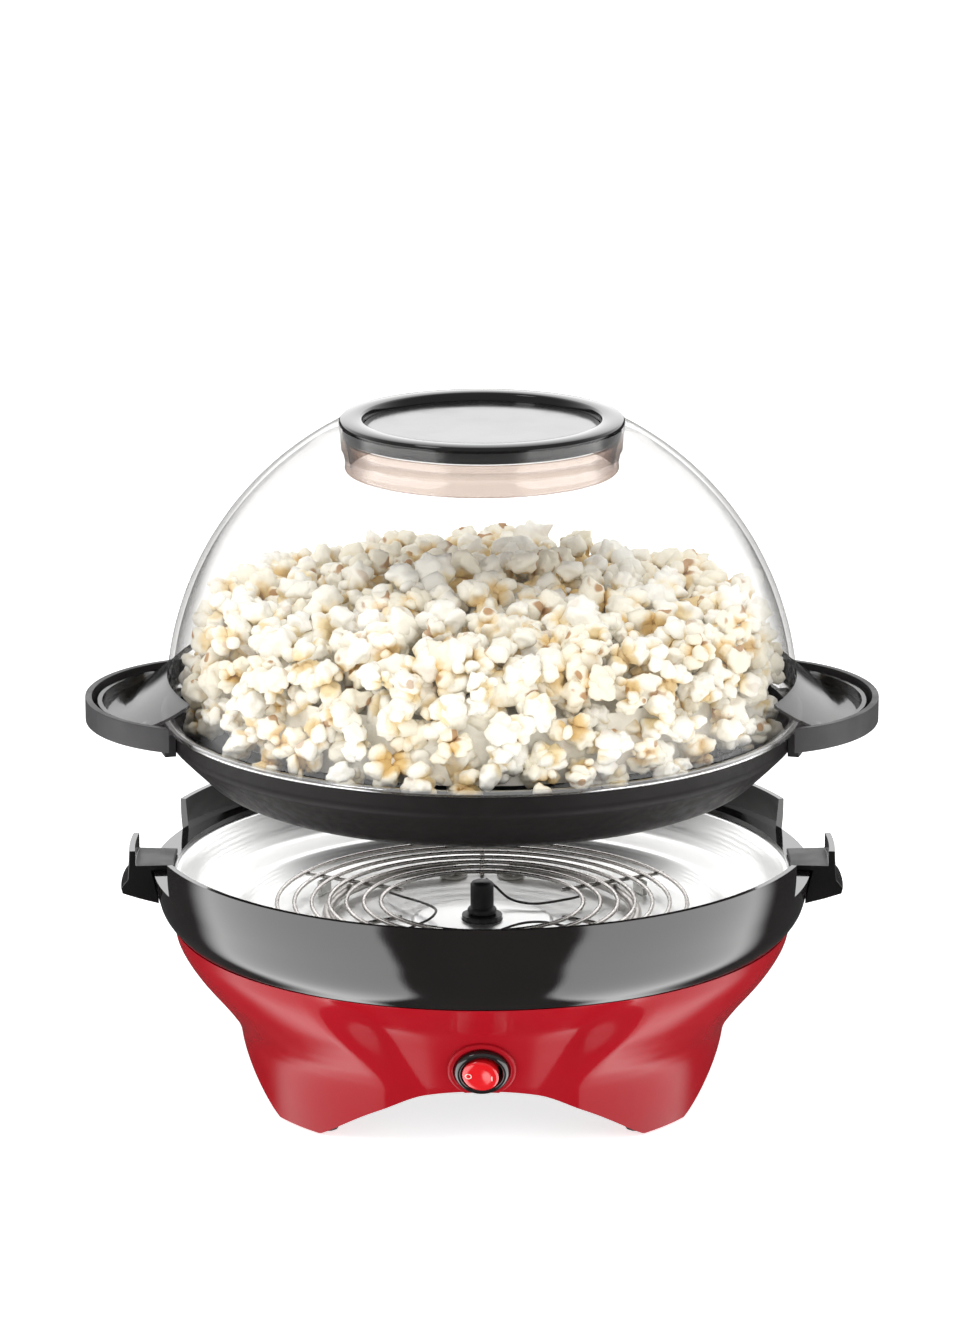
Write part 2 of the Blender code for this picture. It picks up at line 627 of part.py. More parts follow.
def output_gear():
    gear = prism("output_gear", gear_outline(GEAR_TEETH, GEAR_R, 0), GEAR_LOW, GEAR_HIGH, NYLON)
    cut(gear, disc("output_gear_bore", 0.0030 + GAP, GEAR_LOW - 0.002, GEAR_HIGH + 0.002,
                   sides=MEDIUM))


def motor_pinion():
    """The pinion on the motor's own shaft, in mesh with the output gear."""
    turn = math.pi + math.pi / PINION_TEETH
    low = LID_Z - 0.0080
    pinion = prism("motor_pinion", gear_outline(PINION_TEETH, PINION_R, turn), GEAR_LOW,
                   GEAR_HIGH, BRIGHT)
    stem = disc("pinion_stem", 0.0018, low, GEAR_HIGH - 0.001, sides=16, at=(PINION_X, 0))
    pinion.location = (PINION_X, 0, 0)
    fuse(pinion, stem)


def gearbox():
    cup = turned("gearbox_housing",
                 [(0, HOUSING_TOP), (HOUSING_R, HOUSING_TOP), (HOUSING_R, LID_Z + LID_T + GAP),
                  (HOUSING_R - WALL, LID_Z + LID_T + GAP), (HOUSING_R - WALL, HOUSING_TOP - WALL),
                  (0, HOUSING_TOP - WALL)], NYLON, BOX_SIDES, (HOUSING_X, 0, 0), closed=False)
    drill(cup, [(0, 0)], SHAFT_R + 0.0022 + GAP, HOUSING_TOP - WALL - 0.002, HOUSING_TOP + 0.002)
    lid = disc("gearbox_lid", HOUSING_R + 0.0040, LID_Z, LID_Z + LID_T, STEEL, BOX_SIDES,
               (HOUSING_X, 0))
    drill(lid, [(0, 0)], 0.0030 + RUN, LID_Z - 0.002, LID_Z + LID_T + 0.002)
    drill(lid, [(PINION_X, 0)], 0.0018 + RUN, LID_Z - 0.002, LID_Z + LID_T + 0.002)
    bush_top = BOWL_Z + 0.0034
    outline = [(HUB_HOLE_R - GAP, bush_top), (HUB_HOLE_R - GAP, BOWL_Z - SHEET - GAP),
               (SHAFT_R + 0.0022, BOWL_Z - SHEET - GAP), (SHAFT_R + 0.0022, GEAR_HIGH + 0.0012),
               (SHAFT_R + RUN, GEAR_HIGH + 0.0012), (SHAFT_R + RUN, bush_top)]
    turned("shaft_bush", outline, NYLON, MEDIUM)


def standoffs():
    for n, turn in enumerate((90, 180, 270), 1):
        x, y = polar(HOUSING_R, math.radians(turn))
        disc(f"standoff_{n}", 0.0035, COVER_TOP + GAP, LID_Z - GAP, STEEL, 12,
             (x + HOUSING_X, y))


def motor():
    """The motor's can under the gearbox lid, open for the pinion's stem."""
    low, high = COVER_TOP + 0.0020, LID_Z - GAP
    can = disc("motor", MOTOR_R, low, high, STEEL, MEDIUM, (PINION_X, 0))
    drill(can, [(PINION_X, 0)], 0.0018 + RUN, LID_Z - 0.0090, LID_Z + 0.001)


# ---------------------------------------------------------------- electrics
def thermostat():
    high = BOWL_Z - SHEET - GAP
    disc("thermostat", 0.0080, high - 0.0085, high, CERAMIC, SMALL, (-0.046, 0.022))


def thermal_fuse():
    radius = 0.0022
    high = BOWL_Z - SHEET - GAP
    fuse_link = disc("thermal_fuse", radius, -0.008, 0.008, BRIGHT, 12)
    place = Matrix.Translation((-0.046, -0.022, high - radius))
    fuse_link.matrix_world = place @ Matrix.Rotation(math.pi / 2, 4, 'Y')


def terminal_block():
    low = COVER_TOP + GAP
    body = block("terminal_block", (-0.018, 0.052, low), (0.018, 0.066, low + 0.013), NYLON)
    for n in range(3):
        x = -0.011 + 0.011 * n
        drilled = disc(f"terminal_slot_{n}", 0.0022, low + 0.006, low + 0.02, None, 12,
                       (x, 0.059))
        cut(body, drilled)


# ---------------------------------------------------------------- switch
ROCKER_R = SWITCH_R - 0.0037
BEZEL_T = 0.0028
ROCK = math.radians(8)                  # the rocker leans this far each way


def switch_bezel():
    """A round snap-in body: flange on the apron and a barrel behind it."""
    barrel = SWITCH_R - 0.0020
    inner = ROCKER_R + 0.0006
    seat = 0.0010
    outline = [(SWITCH_R - 0.0008, BEZEL_T + seat), (SWITCH_R, BEZEL_T), (SWITCH_R, seat),
               (barrel, seat), (barrel, -0.0150), (0, -0.0150), (0, -0.0120),
               (inner, -0.0120), (inner, BEZEL_T + seat)]
    switch_tool("switch_bezel", outline, BLACK)


def switch_rocker():
    """The rocker, a short drum cut flat, leaning to its off side at rest."""
    bm = bmesh.new()
    bmesh.ops.create_cone(bm, cap_ends=True, segments=24, radius1=ROCKER_R - 0.0012,
                          radius2=ROCKER_R - 0.0002, depth=0.0090)
    bmesh.ops.translate(bm, vec=(0, 0, 0.0010), verts=bm.verts)
    rocker = add_bmesh("switch_rocker", bm, ROCKER_RED)
    lean = Matrix.Rotation(-ROCK, 4, 'Y')
    rocker.matrix_world = SWITCH @ lean


# ---------------------------------------------------------------- bottom
def bottom_cover():
    """The flat plate under the works, shaped to the shell's inside."""
    outline = []
    for n in range(SEGMENTS):
        theta = 2 * math.pi * n / SEGMENTS
        edge = shell_radius(theta, COVER_Z) - COVER_EDGE - WALL
        edge -= SWITCH_ROOM * apron_share(theta, COVER_Z)
        outline.append(polar(edge, theta))
    cover = prism("bottom_cover", outline, COVER_Z, COVER_TOP, BLACK)
    places = [polar(BOSS_RING_R, angle) for angle in BOSS_ANGLES]
    drill(cover, places, SCREW_R + GAP, COVER_Z - 0.002, COVER_TOP + 0.002)
    vent = 0.0024
    slots = [polar(0.060, math.radians(210 + 20 * n)) for n in range(7)]
    drill(cover, slots, vent, COVER_Z - 0.002, COVER_TOP + 0.002)


def base_fasteners():
    for n, angle in enumerate(BOSS_ANGLES, 1):
        screw(f"cover_screw_{n}", polar(BOSS_RING_R, angle), COVER_Z - GAP, 0.0120)
    for n, place in enumerate(bowl_screw_places(), 1):
        screw(f"bowl_screw_{n}", place, BOWL_FLANGE_TOP - 2 * (SHEET + GAP), 0.0040)
    for n, angle in enumerate(LEG_ANGLES, 1):
        disc(f"foot_pad_{n}", FOOT_PAD_R, 0, PAD_T, RUBBER, SMALL, polar(PAD_RING_R, angle))


# ---------------------------------------------------------------- pan
PAN_BORE = SHAFT_R + 0.0045
PAN_FLOOR_T = 0.0022                    # thickness of the pan's cast floor
TAB_Z = HANDLE_Z - 0.0018               # underside of the tabs that the handles screw to
TAB_T = 0.0015


def cooking_pan():
    """A shallow dished pan with an upright skirt and a hole for the drive."""
    skirt_in = PAN_R - WALL
    outer = [(PAN_R, PAN_RIM_Z), (PAN_R, SKIRT_Z), (PAN_R - 0.0030, SKIRT_Z - 0.0035),
             (PAN_FLOOR_R + 0.0040, PAN_FLOOR_Z + 0.0035), (PAN_FLOOR_R - 0.0030, PAN_FLOOR_Z),
             (PAN_BORE, PAN_FLOOR_Z)]
    top = PAN_FLOOR_Z + PAN_FLOOR_T
    inner = [(PAN_BORE, top), (PAN_FLOOR_R - 0.0040, top),
             (PAN_FLOOR_R + 0.0025, top + 0.0030),
             (skirt_in - 0.0032, SKIRT_Z - 0.0015), (skirt_in, SKIRT_Z + 0.0020),
             (skirt_in, PAN_RIM_Z)]
    pan = turned("cooking_pan", outer + inner, PAN_COAT)
    for n, middle in enumerate((0, math.pi), 1):
        outline = [(TAB_R, TAB_Z + TAB_T), (TAB_R, TAB_Z),
                   (PAN_R - 0.0012, TAB_Z), (PAN_R - 0.0012, TAB_Z + TAB_T)]
        tab = swept_block(f"pan_tab_{n}", outline, middle, TAB_HALF, 3)
        fuse(pan, tab)
    drill(pan, handle_screw_places(), SCREW_R + GAP, TAB_Z - 0.002, TAB_Z + 0.003)


TAB_HALF = math.radians(6)
TAB_R = PAN_R + 0.0155


def handle_screw_places():
    places = []
    for side in (1, -1):
        for y in (0.0095, -0.0095):
            places.append((side * (TAB_R - 0.0040), y))
    return places


def handle_outline(inset, side):
    """Half an ellipse standing out past the pan: the handle's D in plan."""
    centre = PAN_R - 0.0225
    along = TIP_X - centre - inset
    across = 0.0655 * (HANDLE_REACH / 0.0375) ** 0.5 - inset
    count = 18
    points = []
    for n in range(count + 1):
        angle = -math.pi / 2 + math.pi * n / count
        points.append((side * (centre + along * math.cos(angle)), across * math.sin(angle)))
    return points


def pan_handle(name, side):
    """A D-shaped tray round the dome's wing, with a foot that sits in the notch."""
    tray = prism(name, handle_outline(0, side), HANDLE_Z, HANDLE_TOP, MATT)
    cut(tray, prism(name + "_pocket", handle_outline(WALL + 0.0005, side), HANDLE_Z + WALL,
                    HANDLE_TOP + 0.002))
    keep_out = RIM_R + 0.0010
    cut(tray, disc(name + "_bite", keep_out, HANDLE_Z - 0.004, HANDLE_TOP + 0.004,
                   sides=SEGMENTS))
    middle = 0 if side > 0 else math.pi
    foot = [(keep_out + 0.0020, HANDLE_Z + WALL), (keep_out + 0.0020, HANDLE_Z),
            (PAN_R + 0.0055, HANDLE_Z), (PAN_R + 0.0055, PAN_Z), (PAN_R + GAP, PAN_Z),
            (PAN_R + GAP, HANDLE_Z + WALL)]
    foot_half = NOTCH_HALF - math.radians(4.5)
    fuse(tray, swept_block(name + "_foot", foot, middle, foot_half, 5))
    relief = [(TAB_R + 0.0010, HANDLE_Z + GAP), (TAB_R + 0.0010, TAB_Z - 0.0060),
              (PAN_R - 0.0040, TAB_Z - 0.0060), (PAN_R - 0.0040, HANDLE_Z + GAP)]
    cut(tray, swept_block(name + "_slot", relief, middle, TAB_HALF + math.radians(0.5), 3))
    places = [p for p in handle_screw_places() if p[0] * side > 0]
    for n, place in enumerate(places):
        boss = disc(f"{name}_boss_{n}", 0.0040, HANDLE_Z + 0.0010, HANDLE_Z + WALL + 0.0010,
                    at=place)
        fuse(tray, boss)
    drill(tray, places, SCREW_R + GAP, HANDLE_Z - 0.002, HANDLE_Z + WALL + 0.0004)
    return tray


def pan_fittings():
    top = PAN_FLOOR_Z + PAN_FLOOR_T
    seat = PAN_FLOOR_Z - GAP
    outer, bore = PAN_BORE - GAP, SHAFT_R + RUN
    outline = [(outer, top), (outer, seat), (outer + 0.0030, seat), (outer + 0.0030, seat - SHEET),
               (bore, seat - SHEET), (bore, top)]
    turned("pan_bushing", outline, BRIGHT, MEDIUM)
    seat = TAB_Z - GAP
    for n, place in enumerate(handle_screw_places(), 1):
        screw(f"handle_screw_{n}", place, seat, 0.0042)


# ---------------------------------------------------------------- stirrer
HUB_R = 0.0110
HUB_LOW = PAN_FLOOR_Z + PAN_FLOOR_T + 0.0004
HUB_HIGH = HUB_LOW + 0.0150
ARM_REACH = PAN_FLOOR_R - 0.0120
ARM_WIRE_R = 0.0016


def stirrer():
    """A hub that drops on the drive shaft and one bent rod through it."""
    bore = SHAFT_R + RUN
    outline = [(0, HUB_HIGH), (HUB_R - 0.0030, HUB_HIGH), (HUB_R, HUB_HIGH - 0.0030),
               (HUB_R, HUB_LOW), (bore, HUB_LOW), (bore, HUB_HIGH - 0.0060),
               (0, HUB_HIGH - 0.0060)]
    hub = turned("stirrer_hub", outline, MATT, MEDIUM, closed=False)
    z_in = HUB_HIGH - 0.0030
    z_out = PAN_FLOOR_Z + PAN_FLOOR_T + ARM_WIRE_R + 0.0008
    right = [(HUB_R + 0.006, 0, z_in), (HUB_R + 0.016, 0.002, z_in - 0.006),
             (HUB_R + 0.022, 0.004, z_out), (ARM_REACH * 0.6, 0.010, z_out),
             (ARM_REACH, 0.004, z_out), (ARM_REACH, 0.004, z_out + 0.012)]
    left = [(-x, -y, z) for x, y, z in reversed(right[:-1])]
    left = [(-ARM_REACH * 0.98, -0.004, z_out + 0.009), *left]
    tube("stirring_rod", left + [(-0.004, 0, z_in), (0.004, 0, z_in)] + right, ARM_WIRE_R, STEEL)
    bore_tool = disc("stirring_rod_bore", ARM_WIRE_R + GAP, -0.02, 0.02, sides=12)
    bore_tool.matrix_world = Matrix.Translation((0, 0, z_in)) @ Matrix.Rotation(math.pi / 2, 4, 'Y')
    cut(hub, bore_tool)


# ---------------------------------------------------------------- dome and cap
def dome_outline():
    """Wall of the dome in section: flange, half sphere and collar."""
    steps = 10
    low = math.asin((FLANGE_Z + WALL - DOME_Z) / DOME_R)
    high = math.asin((CAP_SEAT_Z - DOME_Z) / DOME_R)
    outside = []
    for n in range(steps + 1):
        angle = high + (low - high) * n / steps
        outside.append((DOME_R * math.cos(angle), DOME_Z + DOME_R * math.sin(angle)))
    inner_r = DOME_R - WALL
    collar_low = CAP_SEAT_Z - 0.0205
    seat = CAP_SEAT_Z - 0.0055
    under = seat - 0.0040
    top = math.asin((under - DOME_Z) / inner_r)
    inside = []
    for n in range(steps + 1):
        angle = low + (top - low) * n / steps
        inside.append((inner_r * math.cos(angle), DOME_Z + inner_r * math.sin(angle)))
    flange = [(FLANGE_R, FLANGE_Z + WALL), (FLANGE_R, FLANGE_Z), (inner_r - 0.0015, FLANGE_Z)]
    collar = [(MOUTH_R + 0.0005, under), (MOUTH_R - 0.0005, collar_low),
              (MOUTH_R - 0.0030, collar_low), (MOUTH_R - 0.0015, seat), (CAP_R - 0.0005, seat)]
    lip = (CAP_R - 0.0005 + 0.0008, CAP_SEAT_Z)
    outside[0] = (CAP_R + 0.0014, CAP_SEAT_Z - 0.0006)
    return [lip, *outside[1:], *flange, *inside[1:], *collar]


def dome():
    clear = turned("dome", dome_outline(), CLEAR)
    for name, side in (("right", 1), ("left", -1)):
        wing = prism(f"wing_{name}", handle_outline(WALL + 0.0020, side), FLANGE_Z + 0.0010,
                     FLANGE_Z + WALL + 0.0008)
        cut(wing, disc(f"wing_{name}_bite", FLANGE_R - 0.0020, FLANGE_Z - 0.004, FLANGE_Z + 0.01,
                       sides=SEGMENTS))
        fuse(clear, wing)


def cap():
    """A ring that drops in the dome's mouth, and the disc that closes it."""
    low = CAP_SEAT_Z - 0.0055 + GAP
    high = CAP_SEAT_Z + 0.0028
    inner = CAP_R - 0.0103
    plug = MOUTH_R - 0.0030 - 2 * GAP
    outline = [(CAP_R - 0.0008, high), (CAP_R, high - 0.0008), (CAP_R, CAP_SEAT_Z + GAP),
               (CAP_R - 0.0014, CAP_SEAT_Z + GAP), (CAP_R - 0.0014, low), (plug, low),
               (plug, low - 0.0060), (plug - 0.0020, low - 0.0060), (plug - 0.0020, low),
               (inner, low), (inner, high - 0.0008), (inner + 0.0008, high)]
    turned("cap_ring", outline, BLACK)
    seat = high - 0.0035
    disc("cap_disc", inner - GAP, seat - 0.0020, seat, MATT, SEGMENTS)


# ---------------------------------------------------------------- build
lower_shell()
upper_ring()
side_grip("side_grip_right", 0)
side_grip("side_grip_left", math.pi)
cord_inlet()
bottom_cover()
base_fasteners()
reflector_bowl()
heat_shield()
heating_element()
element_terminals()
wire_grill()
grill_clips()
drive_shaft()
output_gear()
motor_pinion()
gearbox()
standoffs()
motor()
thermostat()
thermal_fuse()
terminal_block()
switch_bezel()
switch_rocker()
cooking_pan()
pan_handle("pan_handle_right", 1)
pan_handle("pan_handle_left", -1)
pan_fittings()
stirrer()
dome()
cap()
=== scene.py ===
# %% [markdown]
# # A popcorn maker, built in Blender
# The machine is a heated base on four legs, a pan that lifts off it, a clear dome over the
# pan and a black cap in the dome's mouth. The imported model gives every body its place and
# its joints. This lesson builds the pieces that are seen, in metres, in the same frame.

import math
import random

import bmesh
import bpy
from mathutils import Matrix, Vector, noise as perlin


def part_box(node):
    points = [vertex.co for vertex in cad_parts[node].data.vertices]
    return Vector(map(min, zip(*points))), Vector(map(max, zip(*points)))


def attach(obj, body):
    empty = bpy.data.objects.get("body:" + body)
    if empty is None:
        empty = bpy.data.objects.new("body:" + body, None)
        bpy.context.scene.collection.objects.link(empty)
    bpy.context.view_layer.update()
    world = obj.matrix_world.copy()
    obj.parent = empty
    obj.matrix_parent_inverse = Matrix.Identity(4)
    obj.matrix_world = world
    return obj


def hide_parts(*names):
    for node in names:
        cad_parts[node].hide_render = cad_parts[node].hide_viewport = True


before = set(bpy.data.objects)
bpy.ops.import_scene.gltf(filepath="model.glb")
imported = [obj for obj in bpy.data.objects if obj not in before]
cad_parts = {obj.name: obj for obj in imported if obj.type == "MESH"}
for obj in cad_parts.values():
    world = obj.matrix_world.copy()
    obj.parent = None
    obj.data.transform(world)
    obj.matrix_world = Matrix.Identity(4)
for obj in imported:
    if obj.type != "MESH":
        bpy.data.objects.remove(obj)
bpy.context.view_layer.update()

# %% [markdown]
# ## The camera
# The machine is seen from the front, from a little above, with a long lens, so that the
# far side of the rim looks nearly as wide as the near side. The sensor's 36 mm lie along
# the longer side of the image.

# %% Camera
def add_object(name, data):
    """A new object in the scene, at the origin."""
    obj = bpy.data.objects.new(name, data)
    bpy.context.scene.collection.objects.link(obj)
    return obj


LOOK_DOWN = 14.69     # degrees below level

lens = bpy.data.cameras.new("camera")
lens.lens = 142.46
camera = add_object("camera", lens)
camera.location = (0.0027, -2.290, 0.795)
camera.rotation_euler = (math.radians(90 - LOOK_DOWN), 0, 0)
bpy.context.scene.camera = camera
print("camera", tuple(camera.location))

# %% [markdown]
# ## Floor and studio
# Gloss plastic shows its surroundings more than its own colour, so the studio matters as
# much as the paint. The surroundings are white to the eye. What gloss surfaces mirror is
# set apart: bright behind and above, dark in front, and a soft panel low at each side that
# widens downwards. The floor is left out of mirrors, as if it were a dark sweep.

# %% World
def link(tree, start, end):
    tree.links.new(start, end)


def maths(tree, operation, first, second=0.0, third=None, clamp=False):
    """One Math node. Each input is a number or another node's socket."""
    node = tree.nodes.new("ShaderNodeMath")
    node.operation = operation
    node.use_clamp = clamp
    for socket, value in zip(node.inputs, (first, second, third)):
        if isinstance(value, bpy.types.NodeSocket):
            link(tree, value, socket)
        elif value is not None:
            socket.default_value = value
    return node.outputs[0]


def ramp_between(tree, value, low, high, out_low=0.0, out_high=1.0):
    """A soft step: value from low to high becomes out_low to out_high."""
    node = tree.nodes.new("ShaderNodeMapRange")
    node.interpolation_type = 'SMOOTHSTEP'
    link(tree, value, node.inputs["Value"])
    node.inputs["From Min"].default_value = low
    node.inputs["From Max"].default_value = high
    node.inputs["To Min"].default_value = out_low
    node.inputs["To Max"].default_value = out_high
    return node.outputs["Result"]


SKY = 0.90            # brightness that lights matt surfaces
PANEL = 4.6           # brightness of the soft panels in mirrors
BACKDROP = 2.3        # brightness of the wall behind, in mirrors
FRONT_WALL = 0.55     # brightness of the wall in front, in mirrors
DARKEST = 0.06        # brightness of the rest, in mirrors
PANEL_SLANT = -0.47   # how much a panel widens on its way down

world = bpy.data.worlds.new("studio")
world.use_nodes = True
bpy.context.scene.world = world
studio = world.node_tree
background = studio.nodes["Background"]
background.inputs["Color"].default_value = (1, 1, 1, 1)
direction = studio.nodes.new("ShaderNodeTexCoord").outputs["Generated"]
axes = studio.nodes.new("ShaderNodeSeparateXYZ")
link(studio, direction, axes.inputs[0])
ray = studio.nodes.new("ShaderNodeLightPath")
above = ramp_between(studio, axes.outputs["Z"], -0.04, 0.06)
behind = ramp_between(studio, axes.outputs["Y"], -0.25, 0.75, FRONT_WALL, BACKDROP)
upper = maths(studio, 'MULTIPLY', above, behind)
sideways = maths(studio, 'ABSOLUTE', axes.outputs["X"])
slant = maths(studio, 'MULTIPLY_ADD', axes.outputs["Z"], PANEL_SLANT, sideways)
side_front = ramp_between(studio, slant, 0.67, 0.73)
side_back = ramp_between(studio, axes.outputs["Y"], 0.28, 0.55, 1.0, 0.0)
panel_high = ramp_between(studio, axes.outputs["Z"], -0.10, -0.02, 1.0, 0.0)
panel = maths(studio, 'MULTIPLY', side_front, side_back)
panel = maths(studio, 'MULTIPLY', panel, panel_high)
mirrored = maths(studio, 'MULTIPLY_ADD', panel, PANEL, upper)
mirrored = maths(studio, 'ADD', mirrored, DARKEST)
seen = maths(studio, 'MAXIMUM', ray.outputs["Is Camera Ray"],
             ray.outputs["Is Transmission Ray"])
gloss = maths(studio, 'MULTIPLY', mirrored, ray.outputs["Is Glossy Ray"])
matt = maths(studio, 'MULTIPLY', ray.outputs["Is Diffuse Ray"], SKY)
other = maths(studio, 'ADD', gloss, matt)
strength = maths(studio, 'MAXIMUM', seen, other)
link(studio, strength, background.inputs["Strength"])
bpy.context.scene.view_settings.view_transform = 'Standard'
print("world set, panels", PANEL, "backdrop", BACKDROP)

# %% [markdown]
# The lights are three big soft panels, above, in front and at the left. The camera doesn't
# see them. The floor is one wide white sheet.

# %% Floor and lights
def soft_light(name, place, target, size, watts, seen_in_gloss=False):
    data = bpy.data.lights.new(name, 'AREA')
    data.shape = 'DISK'
    data.size = size
    data.energy = watts
    light = add_object(name, data)
    light.location = place
    aim = Vector(target) - Vector(place)
    light.rotation_euler = aim.to_track_quat('-Z', 'Y').to_euler()
    light.visible_camera = False
    light.visible_glossy = seen_in_gloss


soft_light("top_light", (0.0, -0.3, 1.9), (0, 0, 0.15), 1.2, 7.0)
soft_light("front_light", (0.7, -2.0, 1.2), (0, 0, 0.15), 1.0, 6.5)
soft_light("key_light", (-1.3, -1.2, 1.4), (0, 0, 0.2), 0.7, 8.0, True)


def noise(tree, place, scale, detail=2.0):
    node = tree.nodes.new("ShaderNodeTexNoise")
    node.inputs["Scale"].default_value = scale
    node.inputs["Detail"].default_value = detail
    link(tree, place, node.inputs["Vector"])
    return node.outputs["Fac"]


def blend_colours(tree, factor, first, second):
    node = tree.nodes.new("ShaderNodeMix")
    node.data_type = 'RGBA'
    if isinstance(factor, float):
        node.inputs["Factor"].default_value = factor
    else:
        link(tree, factor, node.inputs["Factor"])
    for socket, value in ((node.inputs["A"], first), (node.inputs["B"], second)):
        if isinstance(value, bpy.types.NodeSocket):
            link(tree, value, socket)
        else:
            socket.default_value = (*value, 1)
    return node.outputs["Result"]


def new_finish(name):
    """A material with its node tree, its shader and the piece's own coordinates."""
    material = bpy.data.materials.new(name)
    material.use_nodes = True
    tree = material.node_tree
    place = tree.nodes.new("ShaderNodeTexCoord").outputs["Object"]
    return material, tree, tree.nodes["Principled BSDF"], place


def mesh_of(name, bm):
    """Turn a finished bmesh into a mesh and free it."""
    mesh = bpy.data.meshes.new(name)
    bm.to_mesh(mesh)
    bm.free()
    return mesh


bm = bmesh.new()
bmesh.ops.create_grid(bm, x_segments=8, y_segments=8, size=6.0)
bmesh.ops.translate(bm, vec=(0, 0, -0.0002), verts=bm.verts)
sheet = mesh_of("floor", bm)
floor = add_object("floor", sheet)
floor.visible_glossy = False
white, paper, paint, place = new_finish("floor_white")
tone = blend_colours(paper, noise(paper, place, 40.0), (0.90, 0.90, 0.90), (0.93, 0.93, 0.93))
link(paper, tone, paint.inputs["Base Color"])
paint.inputs["Roughness"].default_value = 1.0
paint.inputs["Specular IOR Level"].default_value = 0.0
paint.inputs["Emission Color"].default_value = (1, 1, 1, 1)
paint.inputs["Emission Strength"].default_value = 0.70
sheet.materials.append(white)
print("floor and lights ready")

# %% [markdown]
# ## Finishes
# Each finish is one Principled shader fed by noise in the object's own coordinates, so the
# pattern stays on the piece when it moves. Moulded plastic is never quite even: the tone
# drifts slowly, the gloss has faint clouds, and a fine grain breaks up the highlights.

# %% Plastic, rubber and coatings
def add_bump(tree, shader, height, strength, distance):
    bump = tree.nodes.new("ShaderNodeBump")
    bump.inputs["Strength"].default_value = strength
    bump.inputs["Distance"].default_value = distance
    link(tree, height, bump.inputs["Height"])
    link(tree, bump.outputs["Normal"], shader.inputs["Normal"])


def moulded(name, dark, light, rough, metallic=0.0, drift=14.0, grain=900.0, depth=0.05,
            **constants):
    """A finish with a slow drift of tone, clouded gloss and a fine grain."""
    material, tree, shader, place = new_finish(name)
    tone = blend_colours(tree, noise(tree, place, drift), dark, light)
    link(tree, tone, shader.inputs["Base Color"])
    clouds = ramp_between(tree, noise(tree, place, drift * 4, 4.0), 0.3, 0.7, *rough)
    link(tree, clouds, shader.inputs["Roughness"])
    add_bump(tree, shader, noise(tree, place, grain, 3.0), depth, 0.0003)
    shader.inputs["Metallic"].default_value = metallic
    for socket, value in constants.items():
        shader.inputs[socket.replace("_", " ")].default_value = value
    return material


RED = moulded("red gloss plastic", (0.290, 0.005, 0.010), (0.330, 0.007, 0.014), (0.16, 0.24),
              depth=0.03, Specular_IOR_Level=0.08, Coat_Weight=0.05, Coat_Roughness=0.06)
BLACK = moulded("black gloss plastic", (0.008, 0.007, 0.007), (0.013, 0.011, 0.011),
                (0.05, 0.10), depth=0.025)
MATT = moulded("satin handle plastic", (0.022, 0.021, 0.022), (0.030, 0.028, 0.030),
               (0.46, 0.58), grain=2200.0, depth=0.35, Specular_IOR_Level=0.25)
DARK = moulded("dark inner plastic", (0.010, 0.009, 0.010), (0.016, 0.015, 0.016),
               (0.35, 0.50), grain=2200.0, depth=0.30)
COAT = moulded("non stick coating", (0.008, 0.007, 0.007), (0.014, 0.012, 0.012),
               (0.32, 0.44), drift=60.0, grain=3000.0, depth=0.30, Specular_IOR_Level=0.08)
ROCKER = moulded("rocker red plastic", (0.56, 0.006, 0.010), (0.62, 0.010, 0.014),
                 (0.10, 0.16), depth=0.03)
RUBBER = moulded("soft rubber", (0.012, 0.012, 0.012), (0.022, 0.022, 0.022),
                 (0.75, 0.90), grain=1500.0, depth=0.40)
NYLON = moulded("white nylon", (0.66, 0.64, 0.58), (0.74, 0.72, 0.66), (0.35, 0.50),
                grain=1500.0, depth=0.20)
CERAMIC = moulded("white ceramic", (0.72, 0.70, 0.64), (0.80, 0.78, 0.73), (0.40, 0.55),
                  grain=1800.0, depth=0.30)
SMOKED = moulded("cap disc plastic", (0.012, 0.011, 0.012), (0.016, 0.015, 0.016),
                 (0.10, 0.16), depth=0.02)
CAP_BLACK = moulded("cap rim plastic", (0.006, 0.006, 0.006), (0.010, 0.009, 0.009),
                    (0.06, 0.11), depth=0.02, Specular_IOR_Level=0.30)
# A darker, duller copy of the gloss black for the grip's saddle faces: painted shade.
SHADED_SADDLE = moulded("black saddle with painted shade", (0.006, 0.006, 0.006), (0.010, 0.009, 0.009),
                 (0.34, 0.46), grain=2000.0, depth=0.25, Specular_IOR_Level=0.12)
print("plastics:", len(bpy.data.materials))

# %% [markdown]
# Sheet metal that was turned or pressed on a lathe keeps fine rings round its middle. A
# wave texture in rings about Z gives them, as a very shallow bump and a slight change of
# gloss. Wire and screws have no rings, only a drawn, slightly heat-tinted surface.

# %% Metals
def spun_metal(name, dark, light, rough, rings=260.0, depth=0.05):
    material, tree, shader, place = new_finish(name)
    wave = tree.nodes.new("ShaderNodeTexWave")
    wave.wave_type = 'RINGS'
    wave.rings_direction = 'Z'
    wave.inputs["Scale"].default_value = rings
    wave.inputs["Distortion"].default_value = 1.5
    link(tree, place, wave.inputs["Vector"])
    tone = blend_colours(tree, noise(tree, place, 9.0, 3.0), dark, light)
    link(tree, tone, shader.inputs["Base Color"])
    clouds = ramp_between(tree, wave.outputs["Fac"], 0.2, 0.8, *rough)
    link(tree, clouds, shader.inputs["Roughness"])
    add_bump(tree, shader, wave.outputs["Fac"], depth, 0.0001)
    shader.inputs["Metallic"].default_value = 1.0
    return material


